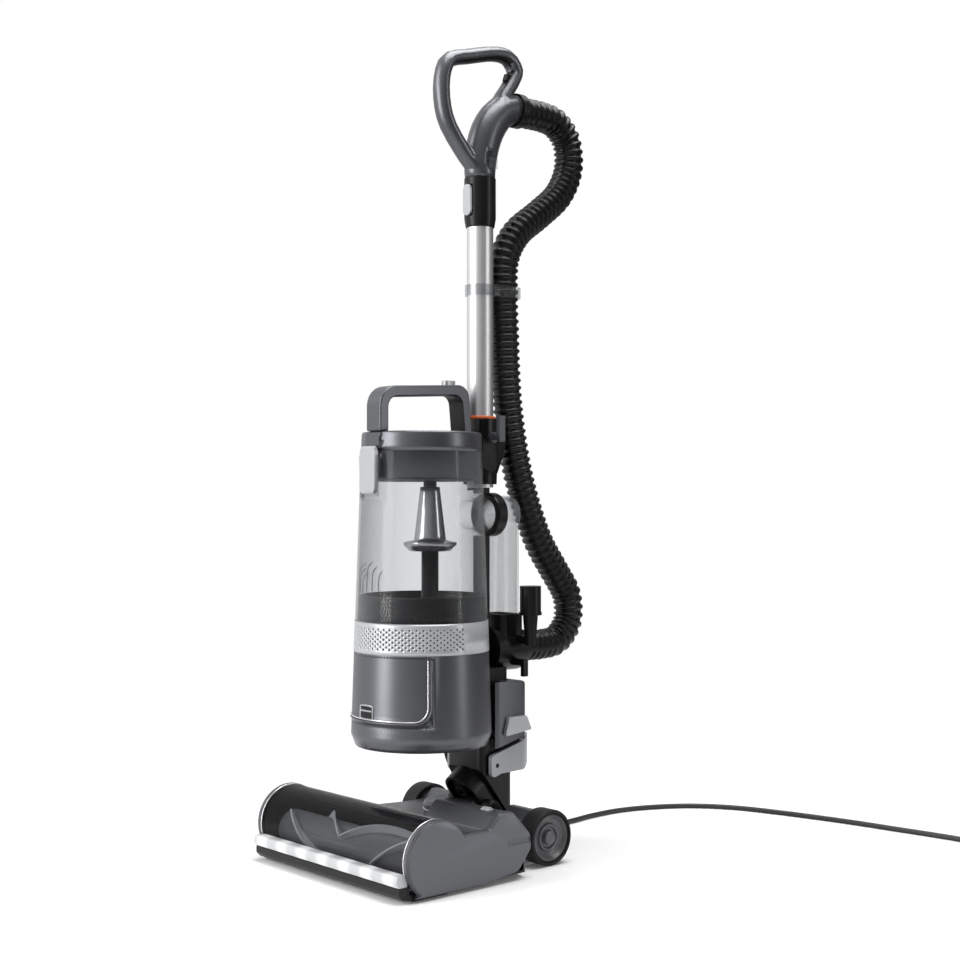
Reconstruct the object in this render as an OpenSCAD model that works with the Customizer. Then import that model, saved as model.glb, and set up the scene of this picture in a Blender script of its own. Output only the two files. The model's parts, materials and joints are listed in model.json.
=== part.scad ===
// Upright vacuum cleaner: a wheeled floorhead, a steering neck, a stand and a lift-out canister
// with its wand, handle and stretch hose. Millimetres, +Z up, front towards -Y.
// The origin is on the floor below the middle of the machine.

/* [Floorhead] */
// Width over the two end caps
head_w = 308; // [296:1:324]
// Outside radius of the hood over the brush bar
hood_r = 45; // [43.5:0.5:47]
// Distance from the wheel axle forward to the centre of the hood
hood_reach = 206; // [202:1:216]
// Height of the centre of the hood above the floor
hood_z = 45; // [44:0.5:48]
// Height of the deck around the neck
deck_z = 54; // [51:0.5:57]
// Height of the motor bulge above the floor
bulge_z = 85; // [82:0.5:90]
// Wall of the moulded shells
wall = 2.5; // [2:0.1:3]
// Thickness of an end cap
cap_t = 8; // [6:0.5:10]
// Radius of the round cap in front of the neck
dome_r = 36; // [33:0.5:38]
// Height of the top of that cap
dome_z = 72; // [69:0.5:75]
// Radius of the core of the brush bar
core_r = 24; // [21:0.5:26]
// Radius over the bristle strips
brush_r = 33.5; // [31:0.5:34]
// Height of the brush bar's axis
brush_z = 35; // [34.5:0.5:37]
// Radius of the brush motor
brush_motor_r = 24; // [20:0.5:25]
// Height of the light bar's lens
lens_h = 13; // [10:0.5:14]

/* [Wheels and axle] */
// Radius of the rear wheels over their tyres
wheel_r = 35; // [34:0.5:37]
// Width of a rear wheel
wheel_w = 27; // [22:0.5:29]
// Distance between the outer faces of the wheels
track_w = 260; // [254:1:270]
// Radius of the wheel axle
axle_r = 4; // [3.5:0.1:5]

/* [Neck and stand] */
// Half width of the stand's column
column_x = 35; // [33:0.5:36]
// Rise of the steering axis above the horizontal, in degrees
steer_rise = 37.7; // [36:0.1:39]
// Radius of the steering spigot
spigot_r = 13; // [11:0.5:15]
// Height of the top of the column, where the canister stands
seat_z = 149.7; // [148:0.1:149.7]
// Height of the top of the stand's cover
cover_z = 223; // [214:1:226]
// Half width of the stand's cover
cover_x = 44; // [43:0.5:46]
// Radius of the pedal's hinge pin
pedal_pin_r = 3; // [2.5:0.1:3.5]

/* [Canister] */
// Distance from the wheel axle forward to the canister's axis
can_reach = 105; // [103:0.5:110]
// Height of the canister's underside above the floor
can_z = 150; // [150:0.1:151]
// Largest radius of the canister, at the top of its chamfered foot
can_r0 = 89.4; // [87:0.1:90]
// Loss of radius for each millimetre of height
can_taper = 0.034; // [0.03:0.001:0.036]
// Height of the top of the motor housing over the underside
housing_h = 118.6; // [114:0.2:120]
// Height of the top of the exhaust band over the underside
band_h = 157; // [154:0.5:160]
// Diameter of a hole in the exhaust band
vent_d = 3; // [2.4:0.1:3.8]
// Radius of the suction motor
motor_r = 46; // [42:0.5:50]

/* [Bin and lid] */
// Height of the top of the clear bin over the canister's underside
bin_h = 370; // [364:1:376]
// Height of the top of the lid over the canister's underside
lid_h = 395; // [391:1:397]
// Radius of the top of the cyclone cone
cone_top_r = 12.5; // [11.5:0.1:15]
// Radius of the cone's flange
flange_r = 34; // [30:0.5:38]
// Height of the carry handle over the canister's underside
carry_h = 459; // [452:1:464]
// Width of the carry handle
carry_w = 29; // [25:0.5:32]
// Outside radius of the bin's inlet spigot
inlet_r = 22; // [19:0.5:23]

/* [Wand and handle] */
// Radius of the metal tube
tube_r = 17.5; // [16.5:0.1:18]
// Distance from the canister's axis back to the tube's axis
tube_y = 100; // [100:0.5:101]
// Height of the top of the tube over the canister's underside
tube_h = 700; // [690:1:700]
// Height of the top of the collar over the canister's underside
collar_h = 734; // [732:0.5:736]
// Radius of the collar
collar_r = 21; // [20:0.5:22]
// Half width of the handle's loop
loop_x = 13; // [11:0.5:15]

/* [Hose and cord] */
// Outside radius of the hose over its ribs
hose_r = 20.5; // [19:0.1:20.6]
// Radius at the root of the ribs
hose_root_r = 17.6; // [17.5:0.1:18]
// Radius of the bore of the hose
hose_bore_r = 14.5; // [13:0.1:15]
// Number of ribs along the hose
hose_ribs = 96; // [80:1:110]
// Diameter of the mains cord
cord_d = 7; // [6:0.1:7]
// Turns in each layer of the cord's coil
coil_turns = 4; // [3:1:4]
// Radius of the coil at the middle of its turns
coil_r = 42; // [40:1:48]

/* [Fits] */
// Running clearance round a shaft, on the radius
run_gap = 0.05; // [0.03:0.01:0.08]
// Gap between pieces that slide or lift apart
gap = 0.3; // [0.25:0.01:0.4]

/* [Hidden] */
$fn = 64;
hose_rear = 286.9;                            // reach of the hose behind the canister's axis
lens_front = 56;                              // nose of the lens in front of the hood's centre
nose_loss = 0.28;                             // what rounding takes off that nose
axle_y = (hood_reach + lens_front - nose_loss - (hose_rear - can_reach)) / 2;
axle_z = wheel_r;
cap_x = head_w / 2 - cap_t;                   // inner face of an end cap
side_t = 3;                                   // side plate of the chassis
pan_z = 6;                                    // underside of the chassis floor
pan_t = 3;
slot_x = 46;                                  // half width of the neck's slot
deck_x = 98;                                  // half width of the deck between the wheels
wheel_in = track_w / 2 - wheel_w;             // inner face of a wheel
barrel_r = 18.3;                              // neck barrel round the axle
dome_y = -55;
motor_y = -96;                                // brush motor behind the hood
motor_z = 47;
brush_pulley_r = 15;
motor_pulley_r = 7;
belt_t = 1.6;
pulley_x = cap_x - side_t - 9;                // inner end of the pulleys
pulley_w = 7;
n_y = cos(steer_rise);                        // steering axis, pointing up and back
n_z = sin(steer_rise);
hub_y = -36;                                  // front face of the steering hub
hub_z = axle_z + 42;
boss_t = 22;
boss_r = 28;
plane_y = hub_y + boss_t * n_y;               // plane where neck and stand meet
plane_z = hub_z + boss_t * n_z;
pedal_y = -14;
pedal_z = 116;
ring_z = 290;                                 // centre of the bin's inlet
ring_r = inlet_r + 7;
ring_y = 108;                                 // front face of the inlet ring
elbow_z = 112;                                // axis of the hose elbow
elbow_r = 30;
cuff_r = 20.4;
cone_y = 14;                                  // cyclone stands behind the bin's axis
post_r = 11;
seal_h = band_h + gap;                        // underside of the bin
skirt_r = can_r(bin_h) - wall - 0.6;
latch_h = 318.5;                                // pivot of the front latch
hook_h = 391;
hook_y = 98;
cuff_top_h = 836;                             // axis of the upper cuff
cuff_top_y = 160;
cuff_end = 172;                               // where the hose leaves both cuffs
coil_x = 480;
coil_y = 600;
cord_r = cord_d / 2;
lay_z = cord_r + 0.1;                         // the cord lies on the floor
coil_pitch = cord_d + 0.6;
coil_out = coil_r + coil_turns * coil_pitch / 2; // radius of the outermost turns
gland_x = -58;
gland_y = 88;
gland_h = 36;

// ---- shared geometry -------------------------------------------------------------------------

// Radius of the canister at a height over its underside
function can_r(z) = can_r0 - can_taper * (z - 14);

function unit2(v) = v / norm(v);

// Points of a round fillet of radius r at corner b of the path a, b, c
function fillet(a, b, c, r, n = 6) =
  let (u = unit2(a - b), v = unit2(c - b), half = acos(max(-1, min(1, u * v))) / 2)
  r <= 0 || half > 89.9 ? [b] :
  let (o = b + unit2(u + v) * r / sin(half), p = b + u * r / tan(half), q = b + v * r / tan(half),
       a0 = atan2(p[1] - o[1], p[0] - o[0]), a1 = atan2(q[1] - o[1], q[0] - o[0]),
       turn = a1 - a0 > 180 ? a1 - a0 - 360 : a1 - a0 < -180 ? a1 - a0 + 360 : a1 - a0)
  [for (i = [0:n]) o + r * [cos(a0 + turn * i / n), sin(a0 + turn * i / n)]];

// Closed outline whose corners are rounded by their third number
function rounded(pts, n = 6) =
  let (k = len(pts))
  [for (i = [0:k - 1])
    each fillet([pts[(i + k - 1) % k][0], pts[(i + k - 1) % k][1]], [pts[i][0], pts[i][1]],
                [pts[(i + 1) % k][0], pts[(i + 1) % k][1]], pts[i][2], n)];

// Catmull-Rom curve through the points p, at u from 0 to len(p) - 1
function curve(p, u) =
  let (k = len(p), i = max(0, min(k - 2, floor(u))), t = u - i,
       a = i > 0 ? p[i - 1] : 2 * p[0] - p[1], b = p[i], c = p[i + 1],
       d = i < k - 2 ? p[i + 2] : 2 * p[k - 1] - p[k - 2])
  0.5 * (2 * b + (c - a) * t + (2 * a - 5 * b + 4 * c - d) * t * t
         + (3 * b - a - 3 * c + d) * t * t * t);

function slope(p, u) = unit2(curve(p, min(u + 0.01, len(p) - 1)) - curve(p, max(u - 0.01, 0)));

// Ring of n points round p, square to the direction t; side is the ring's first axis
function ring_at(p, t, side, rx, rn, n, turn = 0) =
  let (s = unit2(side - (side * t) * t), m = cross(t, s))
  [for (i = [0:n - 1]) p + rx * cos(turn + 360 * i / n) * s + rn * sin(turn + 360 * i / n) * m];

// Closed skin over a list of rings that all have n points
module skin(rings, n) {
  k = len(rings);
  pts = [for (r = rings) each r];
  walls = [for (j = [0:k - 2], i = [0:n - 1]) each
    [[j * n + i, (j + 1) * n + i, j * n + (i + 1) % n],
     [j * n + (i + 1) % n, (j + 1) * n + i, (j + 1) * n + (i + 1) % n]]];
  foot = [for (i = [1:n - 2]) [0, i, i + 1]];
  head = [for (i = [1:n - 2]) [(k - 1) * n, (k - 1) * n + i + 1, (k - 1) * n + i]];
  polyhedron(pts, concat(walls, foot, head));
}

module along_x(x0, x1) {
  translate([x0, 0, 0]) rotate([90, 0, 90]) linear_extrude(x1 - x0) children();
}

module cyl_x(r, x0, x1, r2 = -1) {
  translate([x0, 0, 0]) rotate([0, 90, 0]) cylinder(r1 = r, r2 = r2 < 0 ? r : r2, h = x1 - x0);
}

module cyl_y(r, y0, y1, r2 = -1) {
  translate([0, y0, 0]) rotate([-90, 0, 0]) cylinder(r1 = r, r2 = r2 < 0 ? r : r2, h = y1 - y0);
}

module at_axle() { translate([0, axle_y, 0]) children(); }
module at_brush() { translate([0, axle_y - hood_reach, brush_z]) children(); }
module at_can() { translate([0, axle_y - can_reach, can_z]) children(); }
module at_cone() { translate([0, axle_y - can_reach + cone_y, can_z]) children(); }
module at_tube() { translate([0, axle_y - can_reach + tube_y, can_z]) children(); }

// Turned solid of the canister between two heights, with its own taper
module can_body(z0, z1, out = 0) {
  rotate_extrude($fn = 128)
    polygon([[0, z0], [can_r(z0) + out, z0], [can_r(z1) + out, z1], [0, z1]]);
}

// Front sector of the canister's wall: a degrees wide, from t0 to t1 inside its surface
module can_sector(a, z0, z1, t0, t1) {
  rotate([0, 0, -90 - a / 2]) rotate_extrude(angle = a, $fn = 128)
    polygon([[can_r(z0) - t1, z0], [can_r(z0) - t0, z0], [can_r(z1) - t0, z1], [can_r(z1) - t1, z1]]);
}

// ---- floorhead -------------------------------------------------------------------------------

front_y = -hood_reach - 40;                   // front of the chassis floor

// Plan of the floorhead's body, drawn in by i
function head_plan(i) = [
  [cap_x - i, front_y + i], [cap_x - i, -62 - i], [deck_x - i, -48 - i], [deck_x - i, 8 - i],
  [-deck_x + i, 8 - i], [-deck_x + i, -50 - i], [-112 + i, -104 - i], [-cap_x + i, -150 - i],
  [-cap_x + i, front_y + i]];

// Side of the deck: top line from the hood back over the axle, lowered by i
function deck_side(i) = rounded([
  [-hood_reach + 12, pan_z, 0], [-hood_reach + 30, 67 - i, 0], [-150, 67 - i, 8], [-112, deck_z - i, 25],
  [-18, deck_z - i, 12], [-6, 66 - i, 6], [5 - i, 66 - i, 4], [8 - i, 50, 4], [8 - i, pan_z, 0]]);

// Side of the motor bulge, lowered and drawn in by i
function bulge_side(i) = rounded([
  [-136 + i, 40, 0], [-128 + i, 66 - i, 4], [-110 + i, bulge_z - i, 12], [-88 - i, bulge_z - 2 - i, 12],
  [-60 - i, 55 - i, 8], [-58 - i, 40, 0]]);

module mouth(z0, z1) {
  translate([-(cap_x - 16), -hood_reach - 34, z0]) cube([2 * cap_x - 32, 70, z1 - z0]);
}

module axle_arm(x0, x1) {
  along_x(x0, x1) difference() {
    union() {
      translate([0, axle_z]) circle(r = 12);
      polygon([[-30, pan_z], [8, pan_z], [12, axle_z], [-12, axle_z]]);
    }
    translate([0, axle_z]) circle(r = axle_r);
    translate([8 - wall, 0]) square([20, 100]);
  }
}

module head_base() {
  sill_z = pan_z + pan_t;
  color("#26282b") at_axle() difference() {
    union() {
      translate([0, 0, pan_z]) linear_extrude(pan_t) polygon(head_plan(0));
      // side plates under the hood, with the brush bearings' seats
      for (s = [-1, 1]) intersection() {
        translate([s > 0 ? cap_x - side_t : -cap_x, -hood_reach - hood_r, pan_z])
          cube([side_t, hood_r + 44, 80]);
        translate([0, -hood_reach, hood_z]) cyl_x(hood_r - wall - gap, -cap_x, cap_x);
      }
      // back wall of the brush chamber, front sill and bumper
      translate([-cap_x, -hood_reach + 40, pan_z]) cube([cap_x + pulley_x - 3, 3, 54]);
      translate([-cap_x, front_y, pan_z]) cube([2 * cap_x, 2.5, 12 + lens_h]);
      along_x(-cap_x + 0.3, cap_x - 0.3) polygon(rounded([
        [front_y + 0.1, 4, 0], [front_y + 0.1, 18.7, 0], [-hood_reach - 52, 18.7, 2],
        [-hood_reach - 52, 10, 3], [-hood_reach - 46, 4, 2]]));
      // cradle for the brush motor
      for (x = [52, 108]) difference() {
        translate([x, motor_y - 30, pan_z]) cube([3, 60, motor_z - pan_z]);
        translate([0, motor_y, motor_z]) cyl_x(brush_motor_r + 0.2, 0, 200);
      }
      for (x = [-94, -56, 50, 88]) axle_arm(x, x + 6);
    }
    mouth(0, 20);
    translate([0, -hood_reach, brush_z]) cyl_x(8, -cap_x, cap_x);
  }
}

module head_cover() {
  hood_span = [for (a = [26:4.75:54.5]) [cos(a), sin(a)]];
  color("#5a5d62") at_axle() difference() {
    union() {
      intersection() {
        along_x(-cap_x, cap_x) polygon(deck_side(0));
        translate([0, 0, pan_z + pan_t]) linear_extrude(80) polygon(head_plan(0));
      }
      along_x(34, cap_x) polygon(bulge_side(0));
      hull() {
        along_x(26, 34) polygon(bulge_side(6));
        along_x(34, 35) polygon(bulge_side(0));
      }
      // lip that carries the hood's curve down to the deck
      along_x(-cap_x, cap_x) translate([-hood_reach, hood_z])
        polygon(concat([for (v = hood_span) v * hood_r], [[8, 10]]));
    }
    // hollow underside
    intersection() {
      along_x(-cap_x - 1, cap_x + 1) polygon(deck_side(wall));
      difference() {
        translate([0, 0, -1]) linear_extrude(90) polygon(concat(
          [[cap_x + 2, front_y], [cap_x + 2, -62 - wall], [deck_x - wall, -48 - wall],
           [deck_x - wall, 8 - wall], [-deck_x + wall, 8 - wall], [-deck_x + wall, -50 - wall],
           [-112 + wall, -104 - wall], [-cap_x + wall, -148], [-cap_x - 2, -152], [-cap_x - 2, front_y]]));
        translate([-slot_x - wall, -42 - wall, 0]) cube([2 * (slot_x + wall), 80, 90]);
      }
    }
    along_x(34, cap_x + 1) polygon(bulge_side(wall));
    translate([0, -hood_reach, hood_z]) cyl_x(hood_r - wall, -cap_x - 1, cap_x + 1);
    // everything in front of the hood's rear edge belongs to the window
    translate([-cap_x - 1, -hood_reach - 60, 0])
      cube([2 * cap_x + 2, 60 + hood_r * cos(54.5), 120]);
    translate([-slot_x, -42, pan_z]) cube([2 * slot_x, 60, 90]);
    // sweep of the stand's foot as it steers
    translate([-slot_x - 11, -12, deck_z + 2]) cube([2 * slot_x + 22, 30, 30]);
    translate([0, 0, axle_z]) cyl_x(axle_r, -cap_x, cap_x);
    translate([0, dome_y, deck_z]) cylinder(r = dome_r, h = 40);
    // track of the slider button
    translate([cap_x - 30, -109, bulge_z - 3]) cube([22, 9, 8]);
  }
}

module pivot_dome() {
  color("#54575c") at_axle() translate([0, dome_y, deck_z]) difference() {
    rotate_extrude() polygon(concat(
      [[0, 0], [dome_r, 0]],
      [for (a = [0:15:90]) [dome_r - 5 + 5 * cos(a), dome_z - deck_z - 5 + 5 * sin(a)]],
      [[dome_r - 8, dome_z - deck_z - 0.8], [0, dome_z - deck_z - 0.8]]));
    translate([-50, 13, -1]) cube([100, 60, 60]);
  }
}

module cap_side(left) {
  union() {
    intersection() {
      translate([-hood_reach, hood_z]) circle(r = hood_r + 1);
      translate([-400, 4]) square([800, 200]);
    }
    if (left)
      polygon(rounded([[-hood_reach - 32, 4, 0], [-hood_reach + 6, 60, 0], [-hood_reach + 32, 68, 3],
        [-150, 62, 8], [-141, 44, 14], [-143, 12, 10], [-152, 4, 4]]));
    else
      polygon(rounded([[-hood_reach - 32, 4, 0], [-hood_reach + 6, 60, 0], [-hood_reach + 32, 68, 3],
        [-126, 68, 5], [-109, bulge_z + 0.8, 12], [-87, bulge_z - 1.2, 12], [-59, 54, 10],
        [-57, 36, 12], [-79, 10, 14], [-128, 4, 10]]));
  }
}

module end_cap(left) {
  s = left ? -1 : 1;
  color("#5a5d62") at_axle() mirror([left ? 1 : 0, 0, 0]) difference() {
    union() {
      along_x(cap_x, cap_x + cap_t - 3) cap_side(left);
      translate([0, -150, 45]) along_x(cap_x + cap_t - 3, cap_x + cap_t - 1)
        translate([150, -45]) offset(delta = -1) cap_side(left);
      translate([0, -150, 45]) along_x(cap_x + cap_t - 1, cap_x + cap_t)
        translate([150, -45]) offset(delta = -2.2) cap_side(left);
    }
    if (!left) translate([cap_x + cap_t - 0.8, -98, 44]) cube([2, 44, 6]);
  }
}

module end_cap_left() { end_cap(true); }
module end_cap_right() { end_cap(false); }

module brush_window() {
  a0 = 54.6;
  a1 = 195.5;
  steps = 28;
  arc_pts = function(r) [for (i = [0:steps]) let (a = a0 + (a1 - a0) * i / steps) r * [cos(a), sin(a)]];
  inner = arc_pts(hood_r - wall);
  color("#5c646b", 0.6) at_axle() translate([0, -hood_reach, hood_z]) along_x(-cap_x, cap_x)
    polygon(concat(arc_pts(hood_r), [for (i = [steps:-1:0]) inner[i]]));
}

module light_lens() {
  y0 = -hood_reach - lens_front;
  color("#eef2f5", 0.85) at_axle() difference() {
    along_x(-cap_x + 0.3, cap_x - 0.3) polygon(rounded([
      [front_y - 0.1, 19, 0], [front_y - 0.1, 19 + lens_h, 0], [y0 + 2, 19 + lens_h, 3], [y0, 19 + lens_h / 2, 4],
      [y0 + 3, 19, 2]]));
    translate([-cap_x + 4, y0 + 4, 21]) cube([2 * cap_x - 8, lens_front - 41, lens_h - 4]);
  }
}

module light_board() {
  y1 = front_y - 0.3;
  color("#f5f7ea") at_axle() {
    translate([-cap_x + 5, y1 - 1.6, 21.4]) cube([2 * cap_x - 10, 1.6, lens_h - 4.8]);
    for (i = [-2.5:1:2.5]) translate([i * 46 - 3, y1 - 4, 23]) cube([6, 2.4, 5]);
  }
}

module soleplate() {
  color("#2b2d30") at_axle() {
    difference() {
      translate([-cap_x, front_y + 0.2, 3]) cube([2 * cap_x, 95.8, 3]);
      mouth(0, 20);
      for (x = [-1, 1], y = [-hood_reach + 46, -hood_reach - 37])
        translate([x * (cap_x - 8), y, 0]) cylinder(r = 2, h = 10, $fn = 24);
    }
    // glides that touch the floor
    for (x = [-1, 1]) translate([x * (cap_x - 8) - 5, -hood_reach - 30, 0]) cube([10, 52, 3]);
    for (x = [-70, 40]) translate([x, -hood_reach + 41, 0]) cube([30, 10, 3]);
  }
}

module brush_bearings() {
  color("#8b8f94") at_brush() for (s = [0, 1]) mirror([s, 0, 0]) difference() {
    union() {
      cyl_x(8, cap_x - side_t - 0.5, cap_x);
      cyl_x(10, cap_x - side_t - 1.5, cap_x - side_t);
    }
    cyl_x(axle_r + run_gap, cap_x - 8, cap_x + 1);
  }
}

module belt_loop(grow) {
  hull() {
    translate([-hood_reach, brush_z]) circle(r = brush_pulley_r + gap + grow, $fn = 40);
    translate([motor_y, motor_z]) circle(r = motor_pulley_r + gap + grow, $fn = 40);
  }
}

module drive_belt() {
  color("#1a1a1b") at_axle() along_x(pulley_x + 0.3, pulley_x + pulley_w - 0.3) difference() {
    belt_loop(belt_t);
    belt_loop(0);
  }
}

module brush_motor() {
  color("#8f9296") at_axle() translate([0, motor_y, motor_z]) difference() {
    union() {
      cyl_x(brush_motor_r, pulley_x - 94, pulley_x - 16);
      cyl_x(9, pulley_x - 16, pulley_x - 12);
      cyl_x(7, pulley_x - 100, pulley_x - 94);
    }
    cyl_x(2.5 + run_gap, pulley_x - 34, pulley_x - 4);
  }
}

module motor_pulley() {
  color("#b9bcc0") at_axle() translate([0, motor_y, motor_z]) {
    cyl_x(2.5, pulley_x - 33, pulley_x + pulley_w + 1);
    cyl_x(motor_pulley_r, pulley_x, pulley_x + pulley_w);
  }
}

module axle() {
  color("#b5b8bc") at_axle() translate([0, 0, axle_z]) cyl_x(axle_r, -track_w / 2 + 8, track_w / 2 - 8);
}

module head_slider() {
  color("#cfd2d5") at_axle() translate([cap_x - 29.7, -108.7, bulge_z - 2.7]) {
    cube([15, 8.4, 3]);
    translate([1.5, 1.5, 2.9]) cube([12, 5.4, 2.1]);
  }
}

module brush_core() {
  color("#a9acb0") at_brush() {
    cyl_x(core_r, -cap_x + side_t + 6, pulley_x - 4);
    cyl_x(axle_r, -cap_x + 1, cap_x - 1);
    cyl_x(brush_pulley_r, pulley_x, pulley_x + pulley_w);
  }
}

// Bristle strips wind from each end towards the middle
module brush_bristles() {
  reach = cap_x - side_t - 10;
  color("#dfe2e4") at_brush() for (s = [0, 1]) mirror([s, 0, 0])
    translate([1, 0, 0]) rotate([0, 90, 0]) linear_extrude(reach - 14, twist = 150, slices = 18, $fn = 4)
      for (a = [0, 120, 240]) rotate(a)
        translate([core_r + 0.15, -1.5]) square([brush_r - core_r - 0.2, 3]);
}

// ---- wheels ----------------------------------------------------------------------------------

module tyre(left) {
  color("#1d1e20") at_axle() translate([0, 0, axle_z]) mirror([left ? 1 : 0, 0, 0])
    translate([wheel_in, 0, 0]) rotate([0, 90, 0]) rotate_extrude($fn = 96)
      polygon(rounded([[wheel_r - 6, 0, 0], [wheel_r, 0, 2.5], [wheel_r, wheel_w, 2.5],
        [wheel_r - 3.5, wheel_w, 1], [wheel_r - 4.5, wheel_w - 3, 0.5], [wheel_r - 6, wheel_w - 3, 0]], 4));
}

module hub(left) {
  w = wheel_w - 3;
  color("#6b6e73") at_axle() translate([0, 0, axle_z]) mirror([left ? 1 : 0, 0, 0])
    translate([wheel_in, 0, 0]) difference() {
      rotate([0, 90, 0]) rotate_extrude($fn = 96) polygon([[0, 0], [10, 0], [11, w - 9], [wheel_r - 9, w - 9],
        [wheel_r - 9, 0], [wheel_r - 6, 0], [wheel_r - 6, w + 1], [wheel_r - 8, w + 2], [wheel_r - 11, w - 3],
        [18, w - 5], [16.5, w - 2], [14, w - 2.5], [12.5, w - 5], [9.5, w - 5], [8.5, w + 0.5], [0, w + 1]]);
      cyl_x(axle_r + run_gap, -1, w - 4);
    }
}

module tyre_left() { tyre(true); }
module tyre_right() { tyre(false); }
module hub_left() { hub(true); }
module hub_right() { hub(false); }

// ---- neck and stand --------------------------------------------------------------------------

// Frame of the steering axis: +Z runs up and back along it from the hub's front face
module at_steer() { translate([0, hub_y, hub_z]) rotate([-90 + steer_rise, 0, 0]) children(); }

module yoke() {
  color("#1c1d1f") at_axle() difference() {
    union() {
      translate([0, 0, axle_z]) cyl_x(barrel_r, -42, 42);
      at_steer() difference() {
        union() {
          cylinder(r = boss_r, h = boss_t);
          translate([-boss_r, 0, 0]) cube([2 * boss_r, 52, boss_t]);
          cylinder(r = spigot_r, h = boss_t + 24);
        }
        // arched recess with the screw hub standing in it
        difference() {
          union() {
            translate([0, 0, -1]) cylinder(r = boss_r - 4, h = 7);
            translate([-boss_r + 4, 0, -1]) cube([2 * boss_r - 8, 20, 7]);
          }
          translate([0, 0, -2]) cylinder(r = 11, h = 10);
        }
        translate([0, 0, -1]) cylinder(r = 5, h = 4);
      }
      // rockers that carry the boss down round the axle
      for (s = [-1, 1]) along_x(s > 0 ? 28 : -40, s > 0 ? 40 : -28) polygon(rounded([
        [-barrel_r + 1, axle_z - 4, 0], [-30, axle_z + 24, 6], [-24, axle_z + 38, 6],
        [-10, axle_z + 34, 2], [4, axle_z + barrel_r - 3, 0]]));
    }
    translate([0, 0, axle_z]) cyl_x(axle_r + run_gap, -60, 60);
    // flat face towards the stand, square to the steering axis
    at_steer() difference() {
      translate([-80, -80, boss_t]) cube([160, 160, 60]);
      translate([0, 0, -1]) cylinder(r = spigot_r, h = 90);
    }
  }
}

module column_plan(x, y0, y1, r) {
  polygon(rounded([[-x, y0, r], [x, y0, r], [x, y1, r], [-x, y1, r]], 5));
}

module stand_column() {
  color("#1c1d1f") at_axle() difference() {
    union() {
      translate([0, 0, 52]) linear_extrude(seat_z - 52) column_plan(column_x, -34, 22, 9);
      translate([0, 0, 139]) linear_extrude(seat_z - 139) column_plan(cover_x - 7, -18, 34, 6);
      translate([0, 0, seat_z - 1]) linear_extrude(60) column_plan(17, -3, 11, 3);
      // cam under the pedal that holds the neck upright
      along_x(-12, 12) polygon(rounded([[20, 96, 0], [20, 70, 0], [27, 74, 3], [30, 92, 4]]));
    }
    // parting plane to the neck, and the socket of the steering spigot
    at_steer() translate([-80, -120, boss_t - 90 + gap]) cube([160, 240, 90]);
    at_steer() cylinder(r = spigot_r + run_gap, h = boss_t + 24.5);
    // panel recesses on both sides of the column
    for (s = [-1, 1]) translate([s > 0 ? column_x - 1.5 : -column_x - 1, -22, 104 + 18])
      cube([2.5, 34, 14]);
  }
  // hinge pin of the pedal, moulded with the column
  color("#1c1d1f") at_axle() translate([0, pedal_y, pedal_z])
    for (s = [-1, 1]) cyl_x(pedal_pin_r, s > 0 ? column_x - 2 : -cover_x + 0.5, s > 0 ? cover_x - 0.5 : -column_x + 2);
}

module stand_cover() {
  shell_h = cover_z - 137;
  color("#4c4f54") at_axle() difference() {
    union() {
      difference() {
        translate([0, 0, 137]) linear_extrude(shell_h) column_plan(cover_x, -18, 40, 9);
        translate([0, 0, 130]) linear_extrude(shell_h + 7 - 4) column_plan(cover_x - 3, -40, 37, 7);
      }
      // ledge that rests on the column
      translate([0, 0, seat_z]) linear_extrude(3) column_plan(cover_x - 2, -15, 38, 6);
    }
    // open front, where the spine drops in
    translate([-cover_x + 3, -60, 100]) cube([2 * cover_x - 6, 57, 200]);
    translate([-31, -60, 100]) cube([62, 60 + 20, 200]);
    // sloping lower edge over the pedal
    along_x(-60, 60) polygon([[-40, 100], [-40, 131.5], [60, 156], [60, 100]]);
    // slot of the lift-out button's stem
    translate([cover_x - 4, 12, 158]) cube([8, 7, 17]);
    // shoulders rounded off towards the back
    along_x(-60, 60) difference() {
      translate([26, cover_z - 14]) square([20, 20]);
      translate([26, cover_z - 14]) circle(r = 14);
    }
  }
}

module pedal() {
  color("#b9bcc1") at_axle() difference() {
    intersection() {
      along_x(-cover_x, cover_x) polygon(rounded([
        [-24, 129, 4], [37, 145, 3], [41, 149, 3], [57, 150, 5], [63, 146, 4], [62, 134, 8], [50, 114, 8],
        [36, 106, 6], [-7, 105, 4], [-24, 100, 5]]));
      linear_extrude(200) union() {
        translate([0, 17]) circle(r = 46);
        translate([-cover_x, -40]) square([2 * cover_x, 57]);
      }
    }
    // room for the column between the arms
    translate([0, 0, 90]) linear_extrude(80) column_plan(cover_x - 6, -60, 36, 8);
    translate([0, pedal_y, pedal_z]) cyl_x(pedal_pin_r + run_gap, -60, 60);
  }
}

module lift_button() {
  color("#c9ccd0") at_axle() {
    along_x(cover_x + gap, cover_x + 6) polygon(rounded([[-5, 153, 2], [2, 177, 3], [33, 177, 3], [42, 158, 2]]));
    translate([cover_x - 6, 12.3, 168]) cube([6.5, 6.4, 6.7]);
  }
}

// ---- canister --------------------------------------------------------------------------------

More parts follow.
